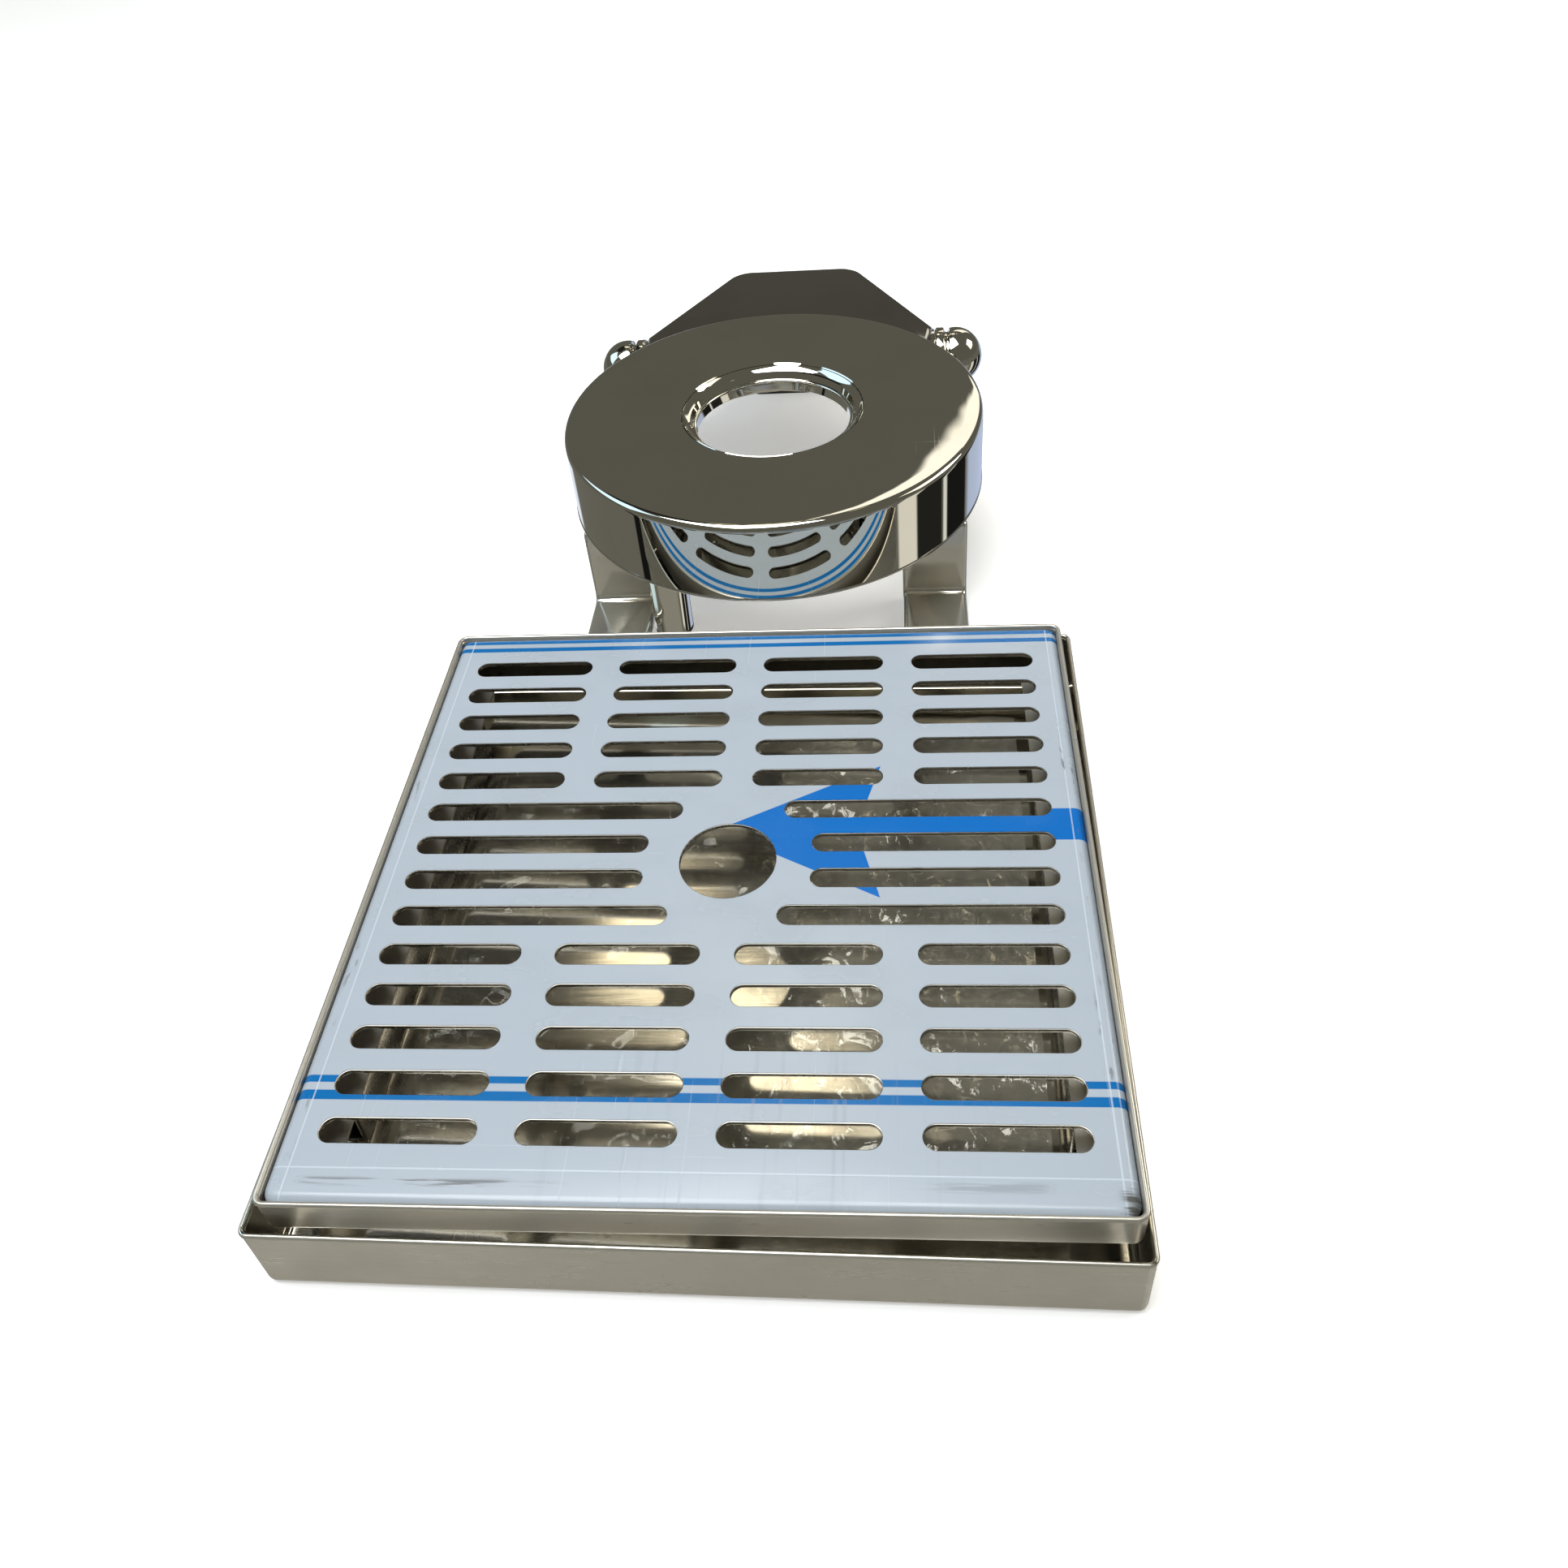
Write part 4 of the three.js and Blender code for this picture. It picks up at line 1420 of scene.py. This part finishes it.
@dataclass
class Studio:
    """The floor, the overhead softbox, the dim surroundings and the camera."""

    lens: float = 30.79
    shift: Point = (0.0, -0.0756)
    camera_place: Triple = (0.0538, -0.3846, 0.3337)
    yaw: float = 6.80
    pitch: float = 40.53
    roll: float = -5.52
    dim: Colour = (0.135, 0.131, 0.108)
    low_dim: Colour = (0.17, 0.165, 0.14)
    below: Colour = (0.50, 0.48, 0.42)
    panels: tuple[Panel, ...] = (
        Panel(-42, 55, 22, 12, 4.0, (0.02, 0.02, 0.018), 1.0),
        Panel(-15.6, 52.6, 2.4, 1.4, 0.8, (1.0, 0.88, 0.62), 3.4),
        Panel(-10.0, 53.4, 2.2, 1.4, 0.8, (1.0, 0.90, 0.66), 3.6),
        Panel(-5.2, 54.4, 2.4, 1.5, 0.8, (1.0, 0.90, 0.66), 3.8),
        Panel(-8.0, 56.3, 4.4, 1.6, 0.8, (1.0, 0.93, 0.74), 3.2),
        Panel(-0.6, 55.0, 1.0, 1.8, 0.6, (1.0, 0.92, 0.72), 3.4),
        Panel(9.5, 55.0, 1.2, 2.0, 0.6, (1.0, 0.88, 0.66), 2.0),
        Panel(101, -34, 6.5, 16, 2.0, (1.0, 0.96, 0.86), 0.95),
        Panel(84, -34, 10, 18, 2.0, (0.02, 0.02, 0.018), 1.0),
        Panel(71, -34, 1.6, 18, 1.5, (0.9, 0.9, 0.84), 1.0),
        Panel(59, -34, 10, 18, 2.0, (0.012, 0.012, 0.012), 1.0),
        Panel(28, -30, 18, 20, 6.0, (0.60, 0.70, 0.95), 0.9),
        Panel(-22, -30, 13, 20, 5.0, (0.78, 0.84, 0.95), 1.1),
        Panel(-101, -34, 2.5, 16, 1.0, (0.01, 0.01, 0.01), 1.0),
        Panel(-82, 36, 20, 15, 3.0, (0.62, 0.82, 1.0), 2.0),
        Panel(84, 34, 13, 12, 3.0, (1.0, 0.93, 0.78), 2.2),
    )
    counter: Colour = (0.33, 0.318, 0.275)
    slant_sum: float = 33.5
    slant_top: float = 37.5
    slant_strength: float = 1.6
    floor_glow: float = 0.45

    def camera(self) -> None:
        """Places the camera."""
        data = bpy.data.cameras.new("camera")
        data.lens, data.sensor_width = self.lens, 36.0
        data.shift_x, data.shift_y = self.shift
        data.clip_start, data.clip_end = 0.01, 50
        camera = linked("camera", data)
        turns = ((self.yaw, "Z"), (90 - self.pitch, "X"), (self.roll, "Z"))
        yaw, pitch, roll = (Matrix.Rotation(math.radians(angle), 4, axis) for angle, axis in turns)
        camera.matrix_world = Matrix.Translation(self.camera_place) @ yaw @ pitch @ roll
        bpy.context.scene.camera = camera

    def surroundings(self) -> None:
        """Lights the scene dimly from all round, with a few soft panels for the metal to mirror."""
        world = bpy.data.worlds.new("studio")
        world.use_nodes = True
        bpy.context.scene.world = world
        board = Board(world.node_tree)
        direction = board.wire("ShaderNodeTexCoord", output="Generated")
        x, y, z = board.split(direction)
        azimuth = board.math("ARCTAN2", x, y) * math.degrees(1)
        elevation = board.math("ARCSINE", z) * math.degrees(1)
        colour = board.mix(elevation.step(2, -2), self.dim, self.low_dim)
        colour = board.mix(elevation.step(-50, -60), colour, self.below)
        counter = abs(azimuth).step(112, 128) * elevation.step(-18, -26)
        colour = board.mix(counter, colour, self.counter)
        for panel in self.panels:
            share = azimuth.band(panel.azimuth, panel.half_width, panel.soft)
            share = share * elevation.band(panel.elevation, panel.half_height, panel.soft)
            colour = board.mix(share, colour, tuple(c * panel.strength for c in panel.colour))
        wave = (board.cloud(direction, (26, 26, 26), 2, seed=2) - 0.5) * 2.2
        slant = (azimuth + elevation + wave).step(self.slant_sum - 0.3, self.slant_sum + 0.3)
        slant = slant * elevation.step(self.slant_top + 0.5, self.slant_top) * azimuth.step(28, 24)
        cream = tuple(c * self.slant_strength for c in (1.0, 0.95, 0.84))
        colour = board.mix(slant * azimuth.step(-12, -8), colour, cream)
        light = board.wire("ShaderNodeBackground", inputs={"Color": colour})
        board.node("ShaderNodeOutputWorld", inputs={"Surface": light})

    def softbox(self, name: str, place: Triple, size: float, power: float, colour: Colour) -> None:
        """Adds a square softbox that faces the object.

        Args:
            name: Its name.
            place: Where it hangs, in metres.
            size: The length of its side.
            power: Its power in watts.
            colour: The colour of its light.
        """
        data = bpy.data.lights.new(name, "AREA")
        data.shape, data.size, data.energy, data.color = "SQUARE", size, power, colour
        lamp = linked(name, data)
        lamp.location = place
        lamp.rotation_euler = (-Vector(place)).to_track_quat("-Z", "Y").to_euler()

    def floor(self) -> None:
        """Lays the pale floor, which the metal doesn't mirror."""
        bm = bmesh.new()
        bmesh.ops.create_grid(bm, x_segments=1, y_segments=1, size=6.0)
        floor = meshed("floor", bm)
        material, board = new_material("pale_floor")
        grain = board.cloud(board.place(), (3, 3, 3), 3)
        tone = board.mix(grain, (0.86, 0.86, 0.855), (0.90, 0.90, 0.895))
        glow = {"Emission Color": tone, "Emission Strength": self.floor_glow}
        close(board, {"Base Color": tone, "Roughness": 0.9, "Specular IOR Level": 0.0, **glow})
        floor.data.materials.append(material)
        floor.visible_glossy = False

    def backdrop(self) -> None:
        """Stands a plain pale wall round the floor, which nothing but the camera sees."""
        bm = bmesh.new()
        lift = Matrix.Translation((0, 0, -0.5))
        bmesh.ops.create_circle(bm, cap_ends=False, segments=96, radius=5.8, matrix=lift)
        raised = bmesh.ops.extrude_edge_only(bm, edges=bm.edges)["geom"]
        bmesh.ops.translate(bm, verts=verts_of(raised), vec=(0, 0, 6.0))
        wall = meshed("backdrop", bm)
        material, board = new_material("pale_wall")
        tone = board.mix(board.cloud(board.place(), (1, 1, 1), 2), (0.93, 0.93, 0.925), (0.97, 0.97, 0.965))
        close(board, {"Base Color": (0, 0, 0, 1), "Emission Color": tone, "Emission Strength": 1.0})
        wall.data.materials.append(material)
        wall.visible_glossy = wall.visible_diffuse = wall.visible_shadow = False

    def build(self) -> None:
        """Sets up the whole studio."""
        bpy.context.scene.view_settings.view_transform = "Standard"
        self.camera()
        self.surroundings()
        self.softbox("overhead", (-0.25, -0.15, 1.45), 1.0, 25.0, (0.95, 0.98, 1.0))
        self.softbox("side_fill", (1.3, 0.5, 0.9), 0.5, 5.0, (1.0, 0.95, 0.86))
        self.floor()
        self.backdrop()


def main() -> None:
    """Builds the studio and every sub-assembly."""
    logging.basicConfig(level=logging.INFO, format="%(name)s %(message)s")
    Studio().build()
    for assembly in (DripTray(), RingHead(), Stand(), ValveBar(), Neck()):
        assembly.build()
        LOG.info("%s is built", type(assembly).__name__)


if __name__ == "__main__":
    main()
